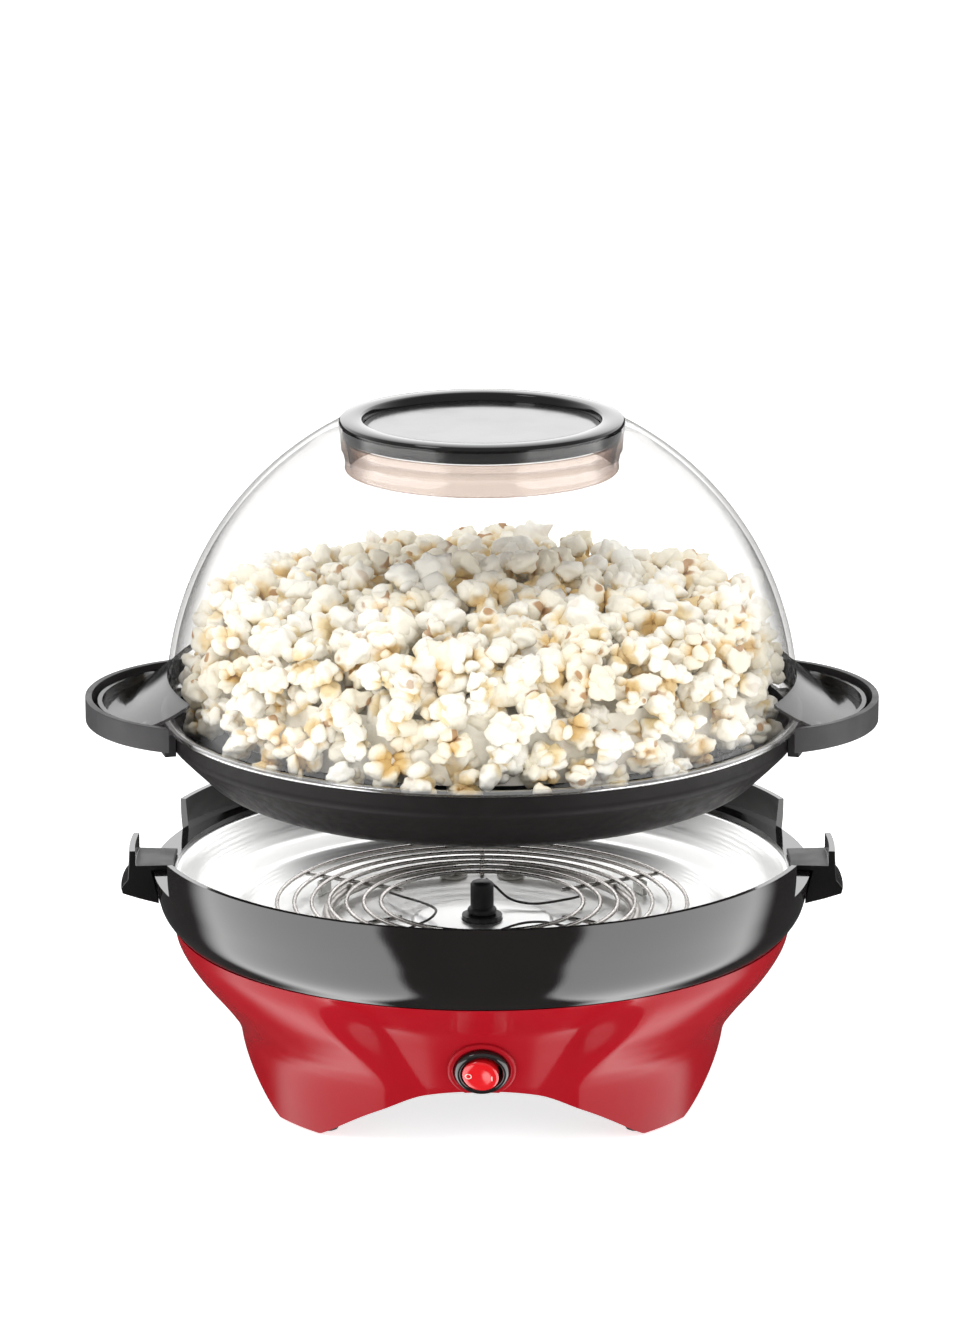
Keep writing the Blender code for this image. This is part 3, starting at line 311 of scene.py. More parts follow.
BRIGHT = spun_metal("polished aluminium", (0.90, 0.90, 0.89), (0.96, 0.96, 0.95), (0.34, 0.42),
                    depth=0.012)
WIRE = moulded("bright wire", (0.40, 0.37, 0.35), (0.62, 0.60, 0.58), (0.18, 0.34),
               metallic=1.0, drift=70.0, grain=1800.0, depth=0.15)
STEEL = moulded("zinc plated steel", (0.52, 0.52, 0.50), (0.66, 0.65, 0.62), (0.24, 0.38),
                metallic=1.0, drift=50.0, grain=1500.0, depth=0.12)
SHEATH = moulded("heater sheath", (0.50, 0.46, 0.43), (0.70, 0.68, 0.66), (0.30, 0.45),
                 metallic=1.0, drift=45.0, grain=1600.0, depth=0.25)
LEAD = moulded("dark lead wire", (0.03, 0.026, 0.024), (0.10, 0.09, 0.085), (0.25, 0.45),
               metallic=0.6, drift=80.0)
print("finishes:", len(bpy.data.materials))

# %% [markdown]
# Clear plastic lets light straight through and mirrors more of the room as it is seen more
# edge-on. A wall this thin hardly bends light, so a Transparent shader mixed with a gloss
# one is enough, and it renders clean. The mix follows the fifth power of how edge-on the
# surface is, which is the usual short form of Fresnel's law. The colour let through also
# darkens as the surface turns edge-on, which is painted shade for the dark rim that bent light
# gives.

# %% Clear plastic
EDGE_MIRROR = 0.42    # how much more is mirrored where the surface is seen edge-on


def clear_plastic(name, face_tint, edge_shade_tint, mirror=0.03, rough=0.03):
    material, tree, opaque, place = new_finish(name)
    tree.nodes.remove(opaque)
    out = tree.nodes["Material Output"]
    facing = tree.nodes.new("ShaderNodeLayerWeight")
    facing.inputs["Blend"].default_value = 0.5
    edge = facing.outputs["Facing"]
    # Painted shade: the colour let through darkens towards the edges, where real plastic bends
    # light away.
    tint = blend_colours(tree, ramp_between(tree, edge, 0.45, 1.0), face_tint, edge_shade_tint)
    through = tree.nodes.new("ShaderNodeBsdfTransparent")
    link(tree, tint, through.inputs["Color"])
    shine = tree.nodes.new("ShaderNodeBsdfGlossy")
    shine.inputs["Color"].default_value = (1, 1, 1, 1)
    clouds = ramp_between(tree, noise(tree, place, 18.0, 3.0), 0.3, 0.7, rough, rough * 2)
    link(tree, clouds, shine.inputs["Roughness"])
    amount = maths(tree, 'POWER', edge, 5.0)
    amount = maths(tree, 'MULTIPLY_ADD', amount, EDGE_MIRROR, mirror)
    mix = tree.nodes.new("ShaderNodeMixShader")
    link(tree, amount, mix.inputs["Fac"])
    link(tree, through.outputs[0], mix.inputs[1])
    link(tree, shine.outputs[0], mix.inputs[2])
    link(tree, mix.outputs[0], out.inputs["Surface"])
    return material


CLEAR = clear_plastic("clear plastic", (0.985, 0.985, 0.982), (0.76, 0.755, 0.75), 0.015)
WING = clear_plastic("clear wing plastic", (0.50, 0.49, 0.49), (0.34, 0.33, 0.33), 0.06, 0.08)
NECK = clear_plastic("smoky neck plastic", (0.74, 0.67, 0.63), (0.45, 0.37, 0.33), 0.04, 0.05)
LIT_EDGE = clear_plastic("lit flange plastic", (0.90, 0.90, 0.90), (0.70, 0.70, 0.70),
                         0.30, 0.12)
print("clear finishes ready")

# %% [markdown]
# ## Making a turned piece
# Most of this machine is round, so its pieces are turned: an outline of (radius, height)
# points is spun about Z with bmesh. The doubles at the seam and at the poles are merged
# before the normals are made to point outwards.

# %% Helpers for pieces
SIDES = 144           # steps of a large turned piece


def smooth_points(points, steps=6):
    """A soft curve through all the points, as a denser list."""
    made = []
    for n in range(len(points) - 1):
        before = Vector(points[max(0, n - 1)])
        start, end = Vector(points[n]), Vector(points[n + 1])
        after = Vector(points[min(len(points) - 1, n + 2)])
        pull_in, pull_out = (end - before) / 2, (after - start) / 2
        for k in range(steps):
            t = k / steps
            place = (start * (2 * t**3 - 3 * t**2 + 1) + pull_in * (t**3 - 2 * t**2 + t)
                     + end * (3 * t**2 - 2 * t**3) + pull_out * (t**3 - t**2))
            made.append(tuple(place))
    made.append(tuple(points[-1]))
    return made


def chain(bm, points, closed=False):
    """Vertices through (x, y, z) points, joined by edges."""
    verts = [bm.verts.new(p) for p in points]
    pairs = list(zip(verts, verts[1:])) + ([(verts[-1], verts[0])] if closed else [])
    for a, b in pairs:
        bm.edges.new((a, b))
    return verts


def tidy(bm):
    bmesh.ops.remove_doubles(bm, verts=bm.verts, dist=1e-6)
    bmesh.ops.recalc_face_normals(bm, faces=bm.faces)
    return bm


def spin_round(bm, steps):
    """Carry all of bm once round Z."""
    bmesh.ops.spin(bm, geom=bm.verts[:] + bm.edges[:], cent=(0, 0, 0), axis=(0, 0, 1),
                   angle=2 * math.pi, steps=steps, use_merge=True)
    return tidy(bm)


def turned(outline, steps=SIDES, closed=True):
    """Turn (radius, height) points about Z into a closed bmesh."""
    bm = bmesh.new()
    chain(bm, [(r, 0, z) for r, z in outline], closed)
    return spin_round(bm, steps)


def swept(outline, middle, half, steps):
    """Sweep a closed (radius, height) outline through part of a turn."""
    bm = bmesh.new()
    face = bm.faces.new([bm.verts.new((r, 0, z)) for r, z in outline])
    bmesh.ops.rotate(bm, cent=(0, 0, 0), matrix=Matrix.Rotation(middle - half, 3, 'Z'),
                     verts=bm.verts)
    bmesh.ops.spin(bm, geom=[face, *face.edges, *face.verts], cent=(0, 0, 0),
                   axis=(0, 0, 1), angle=2 * half, steps=steps)
    return tidy(bm)


def prism(outline, low, high):
    """Raise a flat (x, y) outline from height low to height high."""
    bm = bmesh.new()
    face = bm.faces.new([bm.verts.new((x, y, low)) for x, y in outline])
    raised = bmesh.ops.extrude_face_region(bm, geom=[face])
    top = [v for v in raised["geom"] if isinstance(v, bmesh.types.BMVert)]
    bmesh.ops.translate(bm, vec=(0, 0, high - low), verts=top)
    return tidy(bm)


def scratch(bm):
    return add_object("scratch", mesh_of("scratch", bm))


def applied(body, *tools):
    """The shape of body after its modifiers, as a bmesh. Body and tools are removed."""
    bpy.context.view_layer.update()
    result = bpy.data.meshes.new_from_object(
        body.evaluated_get(bpy.context.evaluated_depsgraph_get()))
    for obj in (body, *tools):
        bpy.data.objects.remove(obj, do_unlink=True)
    made = bmesh.new()
    made.from_mesh(result)
    bpy.data.meshes.remove(result)
    return made


def carve(bm, tools, operation='DIFFERENCE'):
    """Cut each tool's shape out of bm, or join it on, and return the new bmesh."""
    body = scratch(bm)
    cutters = [scratch(tool) for tool in tools]
    for cutter in cutters:
        step = body.modifiers.new("cut", 'BOOLEAN')
        step.operation = operation
        step.solver = 'EXACT'
        step.object = cutter
    return applied(body, *cutters)


def thicken(bm, wall):
    """Give an open skin a wall on its inner side."""
    body = scratch(bm)
    skin = body.modifiers.new("wall", 'SOLIDIFY')
    skin.thickness = wall
    skin.offset = -1
    return applied(body)


def join(bm, *others):
    for other in others:
        mesh = mesh_of("join", other)
        bm.from_mesh(mesh)
        bpy.data.meshes.remove(mesh)
    return bm


def piece(name, bm, material, body, nodes=(), edge=0.0, sharp=32, segments=2,
          other=None, where=None):
    """Turn a finished bmesh into an object that rides on a body of the machine.
    Faces that where(face) picks take the other finish."""
    mesh = mesh_of(name, bm)
    mesh.shade_smooth()
    mesh.set_sharp_from_angle(angle=math.radians(sharp))
    mesh.materials.append(material)
    if other:
        mesh.materials.append(other)
        for face in mesh.polygons:
            face.material_index = int(where(face))
    obj = add_object(name, mesh)
    if edge:
        soften = obj.modifiers.new("soft edges", 'BEVEL')
        soften.width = edge
        soften.segments = segments
        soften.limit_method = 'ANGLE'
        soften.angle_limit = math.radians(sharp)
        soften.harden_normals = True
    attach(obj, body)
    if nodes:
        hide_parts(*nodes)
    print(f"{name}: {len(mesh.polygons)} faces on {body}")


def polar(radius, angle):
    return (radius * math.cos(angle), radius * math.sin(angle))


# %% [markdown]
# ## Sizes from the frame
# The frame says where each CAD node is. A few of those numbers carry all the others.

# %% Sizes
WALL = 0.0025
GAP = 0.0003
RIM_R, RIM_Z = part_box("upper_ring")[1].y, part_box("upper_ring")[1].z
PAN_R, PAN_RIM_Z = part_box("cooking_pan")[1].y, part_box("cooking_pan")[1].z
PAN_FLOOR_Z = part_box("cooking_pan")[0].z
SHELL_R = PAN_R - 0.0010
BAND_Z = RIM_Z - 0.0390
LEDGE_Z, LEDGE_R = RIM_Z - 0.0146, PAN_R - 0.0025
SEAT_Z = LEDGE_Z + 0.0026
FLANGE_Z, FLANGE_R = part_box("dome")[0].z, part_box("dome")[1].y
CAP_SEAT_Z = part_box("dome")[1].z
CAP_TOP, CAP_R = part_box("cap_ring")[1].z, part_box("cap_ring")[1].y
DOME_Z = FLANGE_Z + 0.0045
DOME_R = math.hypot(CAP_R, CAP_SEAT_Z - DOME_Z)
HANDLE_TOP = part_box("pan_handle_right")[1].z
PAN_Z = HANDLE_TOP - 0.0187
HANDLE_Z = PAN_Z + 0.0077
TIP_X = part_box("pan_handle_right")[1].x
COVER_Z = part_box("bottom_cover")[0].z
BOWL_Z = RIM_Z - 0.0425
GRILL_Z = RIM_Z - 0.0330
FRONT = -math.pi / 2
NOTCH_HALF = math.radians(21)
print(f"rim {RIM_R:.4f} at {RIM_Z:.4f}, pan {PAN_R:.4f}, dome {DOME_R:.4f}")

# %% [markdown]
# ## The red shell
# The shell is a bowl whose side runs down into four legs. In front a hollow apron is pressed
# into it, narrowing downwards like a V, and the switch sits in that apron. The shell is
# turned as a fine grid, and then each vertex is moved out or in to the surface wanted at its
# angle and height. That keeps the mesh even, where cutting an apron by hand would not.

# %% Surface of the shell
LOBE = [(0.0, 0.0), (0.007, 0.0015), (0.014, 0.0050), (0.022, 0.0105), (0.031, 0.0180),
        (0.038, 0.0235), (0.045, 0.0280), (0.054, 0.0305), (BAND_Z, 0.0325)]
LOBE_FINE = smooth_points(LOBE, 8)
LEG_FOOT_R = PAN_R - 0.0335
APRON_LOW_Z = COVER_Z + 0.0007
APRON_TOP_HALF, APRON_LOW_HALF = math.radians(30), math.radians(19)
CREASE = math.radians(10)
SHELL_ROWS, SHELL_STEPS, SHELL_FOOT_Z = 90, 300, 0.0008


def lobe_radius(z):
    drop = max(0.0, BAND_Z - z)
    for (d0, r0), (d1, r1) in zip(LOBE_FINE, LOBE_FINE[1:]):
        if drop <= d1:
            return SHELL_R - r0 - (r1 - r0) * (drop - d0) / (d1 - d0)
    return LEG_FOOT_R


APRON = smooth_points([(0.0, 0.0), (0.0060, 0.0080), (0.0120, 0.0154), (0.0178, 0.0214),
                       (0.0231, 0.0247), (0.0300, 0.02755), (0.0480, 0.0350),
                       (0.0780, 0.0474)], 6)


def apron_radius(z):
    drop = max(0.0, BAND_Z - z)
    for (d0, r0), (d1, r1) in zip(APRON, APRON[1:]):
        if drop <= d1:
            break
    return SHELL_R - r0 - (r1 - r0) * (drop - d0) / (d1 - d0)


def apron_share(theta, z):
    share = max(0.0, min(1.0, (BAND_Z - z) / (BAND_Z - APRON_LOW_Z)))
    half = APRON_TOP_HALF + share * (APRON_LOW_HALF - APRON_TOP_HALF)
    off = abs((theta - FRONT + math.pi) % (2 * math.pi) - math.pi)
    t = max(0.0, min(1.0, (half - off) / CREASE + 0.5))
    return t * t * (3 - 2 * t)


def shell_radius(theta, z):
    lobe = lobe_radius(z)
    depth = max(0.0, lobe - apron_radius(z)) * min(1.0, max(0.0, z / APRON_LOW_Z))
    return lobe - depth * apron_share(theta, z)


bm = bmesh.new()
shell_top = BAND_Z + 0.0020
heights = [shell_top - (shell_top - SHELL_FOOT_Z) * n / SHELL_ROWS
           for n in range(SHELL_ROWS + 1)]
chain(bm, [(0.1, 0, z) for z in heights])
spin_round(bm, SHELL_STEPS)
for v in bm.verts:
    theta = math.atan2(v.co.y, v.co.x)
    v.co.x, v.co.y = polar(shell_radius(theta, v.co.z), theta)
bmesh.ops.recalc_face_normals(bm, faces=bm.faces)
first = bm.faces[:][0]
middle = first.calc_center_median()
if first.normal.dot(Vector((middle.x, middle.y, 0))) < 0:
    bmesh.ops.reverse_faces(bm, faces=bm.faces)
shell = thicken(bm, WALL)
print("shell skin", len(shell.faces), "faces")

# %% [markdown]
# The arches between the legs are tunnels cut right under the shell. In front and at the
# back they have a flat crown, at the sides a rounder one, and all four run out softly at
# their ends. The switch has a frame of its own: Z out of the apron, Y up its slope.

# %% Arches, switch boss and legs
SWITCH_Z = COVER_Z + 0.0117
step = 0.001
run = apron_radius(SWITCH_Z + step) - apron_radius(SWITCH_Z - step)
slope = Vector((0, -run, 2 * step)).normalized()
right = Vector((1, 0, 0))
outward = right.cross(slope)
SWITCH = (Matrix.Translation((0, -apron_radius(SWITCH_Z), SWITCH_Z))
          @ Matrix((right, slope, outward)).transposed().to_4x4())
SWITCH_R = 0.0120
ARCH_STEPS = 48


def on_switch(bm, lean=0.0):
    place = SWITCH @ Matrix.Rotation(lean, 4, 'Y')
    bmesh.ops.transform(bm, matrix=place, verts=bm.verts)
    return bm


def arch(half_width, height, power, turn):
    """A tunnel tool that points to -Y before its turn. Soft rounds off its two ends."""
    soft = 0.12
    outline = [(half_width, -0.01)]
    for n in range(ARCH_STEPS + 1):
        u = 1 - 2 * n / ARCH_STEPS
        share = 1 - abs(u) ** power
        outline.append((half_width * u, height * (1 + soft) * share**2 / (share + soft)))
    outline.append((-half_width, -0.01))
    tool = prism(outline, 0.02, SHELL_R + 0.02)
    place = Matrix.Rotation(turn, 4, 'Z') @ Matrix.Rotation(math.pi / 2, 4, 'X')
    bmesh.ops.transform(tool, matrix=place, verts=tool.verts)
    return tool


boss = on_switch(turned([(SWITCH_R + 0.0030, 0.0008), (SWITCH_R + 0.0026, 0.0012),
                         (SWITCH_R + 0.0008, 0.0012), (SWITCH_R + 0.0004, 0.0008),
                         (SWITCH_R + 0.0004, -0.004), (SWITCH_R + 0.0030, -0.004)], 72))
hole = on_switch(turned([(0, 0.01), (SWITCH_R - 0.0017, 0.01), (SWITCH_R - 0.0017, -0.012),
                         (0, -0.012)], 72, closed=False))
trim = turned([(0, BAND_Z + 0.02), (0.2, BAND_Z + 0.02), (0.2, BAND_Z - GAP),
               (0, BAND_Z - GAP)], 8, closed=False)
ARCH_HALF, SIDE_ARCH_HALF = 0.67 * LEG_FOOT_R * 1.03, 0.567 * LEG_FOOT_R
arch_top = APRON_LOW_Z - 0.0010
arches = [arch(ARCH_HALF, arch_top, 2.2, turn) for turn in (0, math.pi)]
arches += [arch(SIDE_ARCH_HALF, arch_top - 0.002, 1.6, turn)
           for turn in (math.pi / 2, -math.pi / 2)]
shell = carve(shell, [trim])
shell = carve(shell, [boss], 'UNION')
shell = carve(shell, [hole, *arches])
INLET_R, INLET_FAR, INLET_NEAR = 0.0073, SHELL_R + 0.02, 0.100
inlet = turned([(0, INLET_FAR), (INLET_R, INLET_FAR), (INLET_R, INLET_NEAR),
                (0, INLET_NEAR)], 32, closed=False)
inlet_place = (Matrix.Translation((0, 0, BAND_Z - 0.0220))
               @ Matrix.Rotation(-math.pi / 2, 4, 'X'))
bmesh.ops.transform(inlet, matrix=inlet_place, verts=inlet.verts)
shell = carve(shell, [inlet])
POST_R, post_top = 0.0079, COVER_Z - 0.008
for n in range(1, 5):
    low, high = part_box(f"foot_pad_{n}")
    post = turned([(0, post_top), (POST_R, post_top), (POST_R, high.z + GAP),
                   (0, high.z + GAP)], 32, closed=False)
    bmesh.ops.translate(post, vec=((low.x + high.x) / 2, (low.y + high.y) / 2, 0),
                        verts=post.verts)
    join(shell, post)
piece("shell", shell, RED, "base", ["lower_shell"], edge=0.0005, sharp=50)

# %% [markdown]
# ## The black band
# The band is a tall ring with a shelf inside for the bowl and a notch at each side for the
# pan's handles. Turning it and cutting the notches is how its mould works too.

# %% Band
BAND_OUTER = [(0.0, 0.0), (0.0002, 0.009), (0.0014, 0.019), (0.0041, 0.031),
              (RIM_R - SHELL_R, RIM_Z - BAND_Z - GAP)]
outer = [(RIM_R - inset, RIM_Z - drop) for inset, drop in smooth_points(BAND_OUTER, 6)]
inner_wall = RIM_R - 0.0014 - WALL
inner = [(SHELL_R - 0.0035, BAND_Z + GAP), (inner_wall, LEDGE_Z - WALL),
         (LEDGE_R, LEDGE_Z - WALL), (LEDGE_R, LEDGE_Z), (inner_wall, LEDGE_Z),
         (RIM_R - WALL, RIM_Z)]
notch = [(RIM_R + 0.01, RIM_Z + 0.01), (RIM_R + 0.01, LEDGE_Z), (LEDGE_R - 0.004, LEDGE_Z),
         (LEDGE_R - 0.004, RIM_Z + 0.01)]
band = carve(turned(outer + inner), [swept(notch, 0, NOTCH_HALF, 16),
                                     swept(notch, math.pi, NOTCH_HALF, 16)])
piece("band", band, BLACK, "base", ["upper_ring"], edge=0.0007,
      segments=3)

# %% [markdown]
# A grip hangs outside each notch. Its saddle reaches over the band's wall, where the
# foot of the pan's handle sits, and its outer wall flares to a lip for the fingers. The
# saddle's faces take a darker, rougher copy of the grip's black, which is painted shade.

# %% Side grips
GRIP_HALF = math.radians(5.5)
saddle = LEDGE_Z + GAP
saddle_out = RIM_R + 0.0074
tip = RIM_R + 0.0141
grip_outline = [(RIM_R + 0.0101, RIM_Z - 0.0050), (RIM_R + 0.0104, RIM_Z - 0.0110),
                (RIM_R + 0.0110, RIM_Z - 0.0185), (tip - 0.0010, RIM_Z - 0.0210),
                (tip, RIM_Z - 0.0222), (tip - 0.0006, RIM_Z - 0.0248),
                (RIM_R + 0.0060, RIM_Z - 0.0274), (RIM_R - 0.0030, RIM_Z - 0.0300),
                (RIM_R - 0.0008, RIM_Z - 0.0190), (RIM_R + GAP, saddle - 0.0004),
                (RIM_R + GAP, saddle), (LEDGE_R + 0.001, saddle), (LEDGE_R + 0.001, SEAT_Z),
                (saddle_out, SEAT_Z), (saddle_out, RIM_Z - 0.0050)]
for name, middle in (("right", 0), ("left", math.pi)):
    grip = swept(grip_outline, middle, GRIP_HALF, 8)
    # Saddle faces, those within RIM_R + 7.2 mm of the middle, take the darker copy: painted
    # shade.
    piece(f"grip_{name}", grip, BLACK, "base", [f"side_grip_{name}"],
          edge=0.0009, segments=3, other=SHADED_SADDLE,
          where=lambda face: math.hypot(*face.center[:2]) < RIM_R + 0.0072)

# %% [markdown]
# ## The reflector bowl
# The bowl is pressed from bright sheet. It has a rolled edge, a curved wall, a shoulder
# that stiffens it, and a flat floor with a low step round the shaft.

# %% Bowl
bowl_top = LEDGE_Z - WALL - GAP
bowl_line = [(LEDGE_R + 0.0055, bowl_top), (LEDGE_R - 0.0006, bowl_top),
             (LEDGE_R - 0.0022, bowl_top - 0.0012), (LEDGE_R - 0.0040, bowl_top - 0.0036),
             (LEDGE_R - 0.0070, bowl_top - 0.0090), (LEDGE_R - 0.0100, BOWL_Z + 0.0131),
             (LEDGE_R - 0.0122, BOWL_Z + 0.0113), (LEDGE_R - 0.0150, BOWL_Z + 0.0105),
             (LEDGE_R - 0.0200, BOWL_Z + 0.0097), (LEDGE_R - 0.0255, BOWL_Z + 0.0089),
             (LEDGE_R - 0.0278, BOWL_Z + 0.0075), (LEDGE_R - 0.0300, BOWL_Z + 0.0050),
             (LEDGE_R - 0.0335, BOWL_Z + 0.0018), (LEDGE_R - 0.0380, BOWL_Z + 0.0001),
             (LEDGE_R - 0.0450, BOWL_Z), (0.0345, BOWL_Z), (0.0325, BOWL_Z + 0.0002),
             (0.0310, BOWL_Z + 0.0010), (0.0290, BOWL_Z + 0.0012), (0.0180, BOWL_Z + 0.0012),
             (0.0095, BOWL_Z + 0.0012)]
bowl_fine = smooth_points(bowl_line, 3)
under = [(r, z - 0.0010) for r, z in bowl_fine]
bowl = turned([*bowl_fine, *reversed(under)])
piece("bowl", bowl, BRIGHT, "base", ["reflector_bowl"], sharp=60)

# %% [markdown]
# ## The wire grill
# Seven rings of wire are welded on six radial bars. Each ring is a small circle spun about
# Z. A bead of weld sits at every crossing. Thin leads are bent over the bowl's floor.

# %% Grill
GRILL_OUT_R, GRILL_IN_R, GRILL_RINGS = PAN_R - 0.0477, PAN_R - 0.0950, 7
WIRE_R, LEAD_R, BARS = 0.0010, 0.0006, 6


def wire_ring(radius, z, wire, steps=112, sides=8):
    bm = bmesh.new()
    circle = bmesh.ops.create_circle(bm, segments=sides, radius=wire)
    bmesh.ops.rotate(bm, matrix=Matrix.Rotation(math.pi / 2, 3, 'X'), verts=circle["verts"])
    bmesh.ops.translate(bm, vec=(radius, 0, z), verts=circle["verts"])
    return spin_round(bm, steps)


def rod(points, radius, sides=8):
    """A round wire along points: a circle is carried from point to point and bridged."""
    bm = bmesh.new()
    loops = []
    places = [Vector(p) for p in points]
    for n, place in enumerate(places):
        ahead = places[min(n + 1, len(places) - 1)] - places[max(n - 1, 0)]
        turn = ahead.to_track_quat('Z', 'Y').to_matrix().to_4x4()
        made = bmesh.ops.create_circle(bm, segments=sides, radius=radius,
                                       cap_ends=n in (0, len(places) - 1),
                                       matrix=Matrix.Translation(place) @ turn)
        loops.append({e for v in made["verts"] for e in v.link_edges})
    for a, b in zip(loops, loops[1:]):
        bmesh.ops.bridge_loops(bm, edges=[*a, *b])
    return tidy(bm)


grill = wire_ring(GRILL_OUT_R, GRILL_Z, WIRE_R)
ring_step = (GRILL_OUT_R - GRILL_IN_R) / (GRILL_RINGS - 1)
for n in range(1, GRILL_RINGS):
    join(grill, wire_ring(GRILL_OUT_R - n * ring_step, GRILL_Z, WIRE_R))
for n in range(BARS):
    angle = math.radians(30 + 360 / BARS * n)
    bar_z = GRILL_Z - 1.2 * WIRE_R
    join(grill, rod([(*polar(GRILL_IN_R - 0.004, angle), bar_z),
                     (*polar(GRILL_OUT_R + 0.0035, angle), bar_z)], WIRE_R))
    for k in range(GRILL_RINGS):
        bead = bmesh.new()
        bmesh.ops.create_icosphere(bead, subdivisions=1, radius=WIRE_R * 1.45)
        spot = (*polar(GRILL_OUT_R - k * ring_step, angle), GRILL_Z - 0.0005)
        bmesh.ops.translate(bead, vec=spot, verts=bead.verts)
        join(grill, bead)
piece("grill", grill, WIRE, "base", ["wire_grill"], sharp=60)

leads = [[(-0.044, 0.034, 0.0), (-0.036, 0.022, 0.001), (-0.027, 0.010, 0.002),
          (-0.021, -0.001, 0.002), (-0.024, -0.012, 0.001), (-0.033, -0.022, 0.0)],
         [(0.002, 0.034, 0.006), (0.006, 0.026, 0.005), (0.013, 0.019, 0.001),
          (0.024, 0.015, 0.0), (0.038, 0.018, 0.001), (0.046, 0.024, 0.001)],
         [(0.009, -0.024, 0.0), (0.018, -0.018, 0.001), (0.027, -0.016, 0.001),
          (0.036, -0.018, 0.0), (0.045, -0.026, 0.0)]]
wires = bmesh.new()
for route in leads:
    path = smooth_points([(x, y, BOWL_Z + 0.0035 + z) for x, y, z in route], 6)
    join(wires, rod(path, LEAD_R))
piece("heater_leads", wires, LEAD, "base", sharp=60)

# %% [markdown]
# The heating element is one sheathed tube bent to a ring under the grill. Its two ends
# turn down through ceramic bushes in the floor of the bowl.

# %% Heating element
ELEMENT_R, ELEMENT_WIRE = 0.0700, 0.0026
element_z = GRILL_Z - 2.2 * WIRE_R - GAP - ELEMENT_WIRE
gap_half = math.radians(11)
start = math.pi / 2 + gap_half
sweep = 2 * math.pi - 2 * gap_half
route = [(*polar(ELEMENT_R, start + sweep * n / 90), element_z) for n in range(91)]
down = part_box("heating_element")[0].z
turns = [(*polar(ELEMENT_R, start - 0.020), element_z - 0.0012),
         (*polar(ELEMENT_R, start - 0.026), element_z - 0.0040)]
ends = [(*polar(ELEMENT_R, start + sweep + 0.020), element_z - 0.0012),
        (*polar(ELEMENT_R, start + sweep + 0.026), element_z - 0.0040)]
route = [(turns[1][0], turns[1][1], down), turns[1], turns[0], *route, *ends,
         (ends[1][0], ends[1][1], down)]
piece("element", rod(route, ELEMENT_WIRE, 12), SHEATH, "base",
      ["heating_element"], sharp=60)

# %% [markdown]
# ## The drive shaft
# The shaft stands up through the bowl. It has a collar above the floor and a stepped top,
# and a thinner spindle under the bowl. It is turned from one outline, like the real one.

# %% Shaft
shaft_low, shaft_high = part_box("drive_shaft")
SHAFT_R, SPINDLE_R, SPINDLE_TOP = 0.0053, 0.0030, 0.0600
collar = BOWL_Z + 0.0040
shaft_line = [(0, shaft_high.z), (SHAFT_R - 0.0016, shaft_high.z),
              (SHAFT_R - 0.0006, shaft_high.z - 0.0005),
              (SHAFT_R, shaft_high.z - 0.0014), (SHAFT_R, collar + 0.0030),
              (SHAFT_R + 0.0008, collar + 0.0025), (SHAFT_R + 0.0013, collar + 0.0018),
              (SHAFT_R + 0.0013, collar + 0.0003), (SHAFT_R + 0.0010, collar), (SHAFT_R, collar),
              (SHAFT_R, SPINDLE_TOP), (SPINDLE_R, SPINDLE_TOP), (SPINDLE_R, shaft_low.z),
              (0, shaft_low.z)]
piece("shaft", turned(shaft_line, 64, closed=False), DARK, "drive",
      ["drive_shaft"], edge=0.0003, sharp=40)

# %% [markdown]
# ## The switch
# A round rocker switch: a black bezel with a rounded lip, and a red rocker with a dished
# face that leans to its off side. A small moulded ring marks off and a short bar marks on.

# %% Switch
ROCKER_R, BEZEL_T, ROCK = SWITCH_R - 0.0037, 0.0028, math.radians(8)
inner_r = ROCKER_R + 0.0006
bezel_line = [(SWITCH_R - 0.0014, BEZEL_T + 0.0010), (SWITCH_R - 0.0005, BEZEL_T + 0.0004),
              (SWITCH_R, BEZEL_T - 0.0006), (SWITCH_R, 0.0010), (SWITCH_R - 0.0020, 0.0010),
              (SWITCH_R - 0.0020, -0.0150), (0, -0.0150), (0, -0.0120), (inner_r, -0.0120),
              (inner_r, BEZEL_T), (inner_r + 0.0006, BEZEL_T + 0.0008)]
piece("bezel", on_switch(turned(bezel_line, 72)), BLACK, "base",
      ["switch_bezel"], edge=0.0003, sharp=40)
face_z = 0.0055
rocker_line = [(0, face_z - 0.0006), (0.0020, face_z - 0.0005), (0.0045, face_z - 0.0001),
               (ROCKER_R - 0.0014, face_z), (ROCKER_R - 0.0006, face_z - 0.0003),
               (ROCKER_R - 0.0002, face_z - 0.0009), (ROCKER_R - 0.0012, -0.0034),
               (0, -0.0034)]
rocker = turned(rocker_line, 64, closed=False)
MARK_R, mark_z = 0.00022, face_z - 0.0001
ring_mark = wire_ring(0.0013, mark_z, MARK_R, 32, 6)
bmesh.ops.translate(ring_mark, vec=(-0.0052, 0, 0), verts=ring_mark.verts)
bar_mark = rod([(0.0052, -0.0013, mark_z), (0.0052, 0.0013, mark_z)], MARK_R)
piece("rocker", on_switch(rocker, -ROCK), ROCKER, "rocker", ["switch_rocker"],
      sharp=40)
marks = on_switch(join(ring_mark, bar_mark), -ROCK)
piece("rocker_marks", marks, NYLON, "rocker", sharp=60)

# %% [markdown]
# ## The pan
# The pan is cast and coated. Its skirt ends in a rolled rim, and its underside steps in to
# the floor in soft curves.

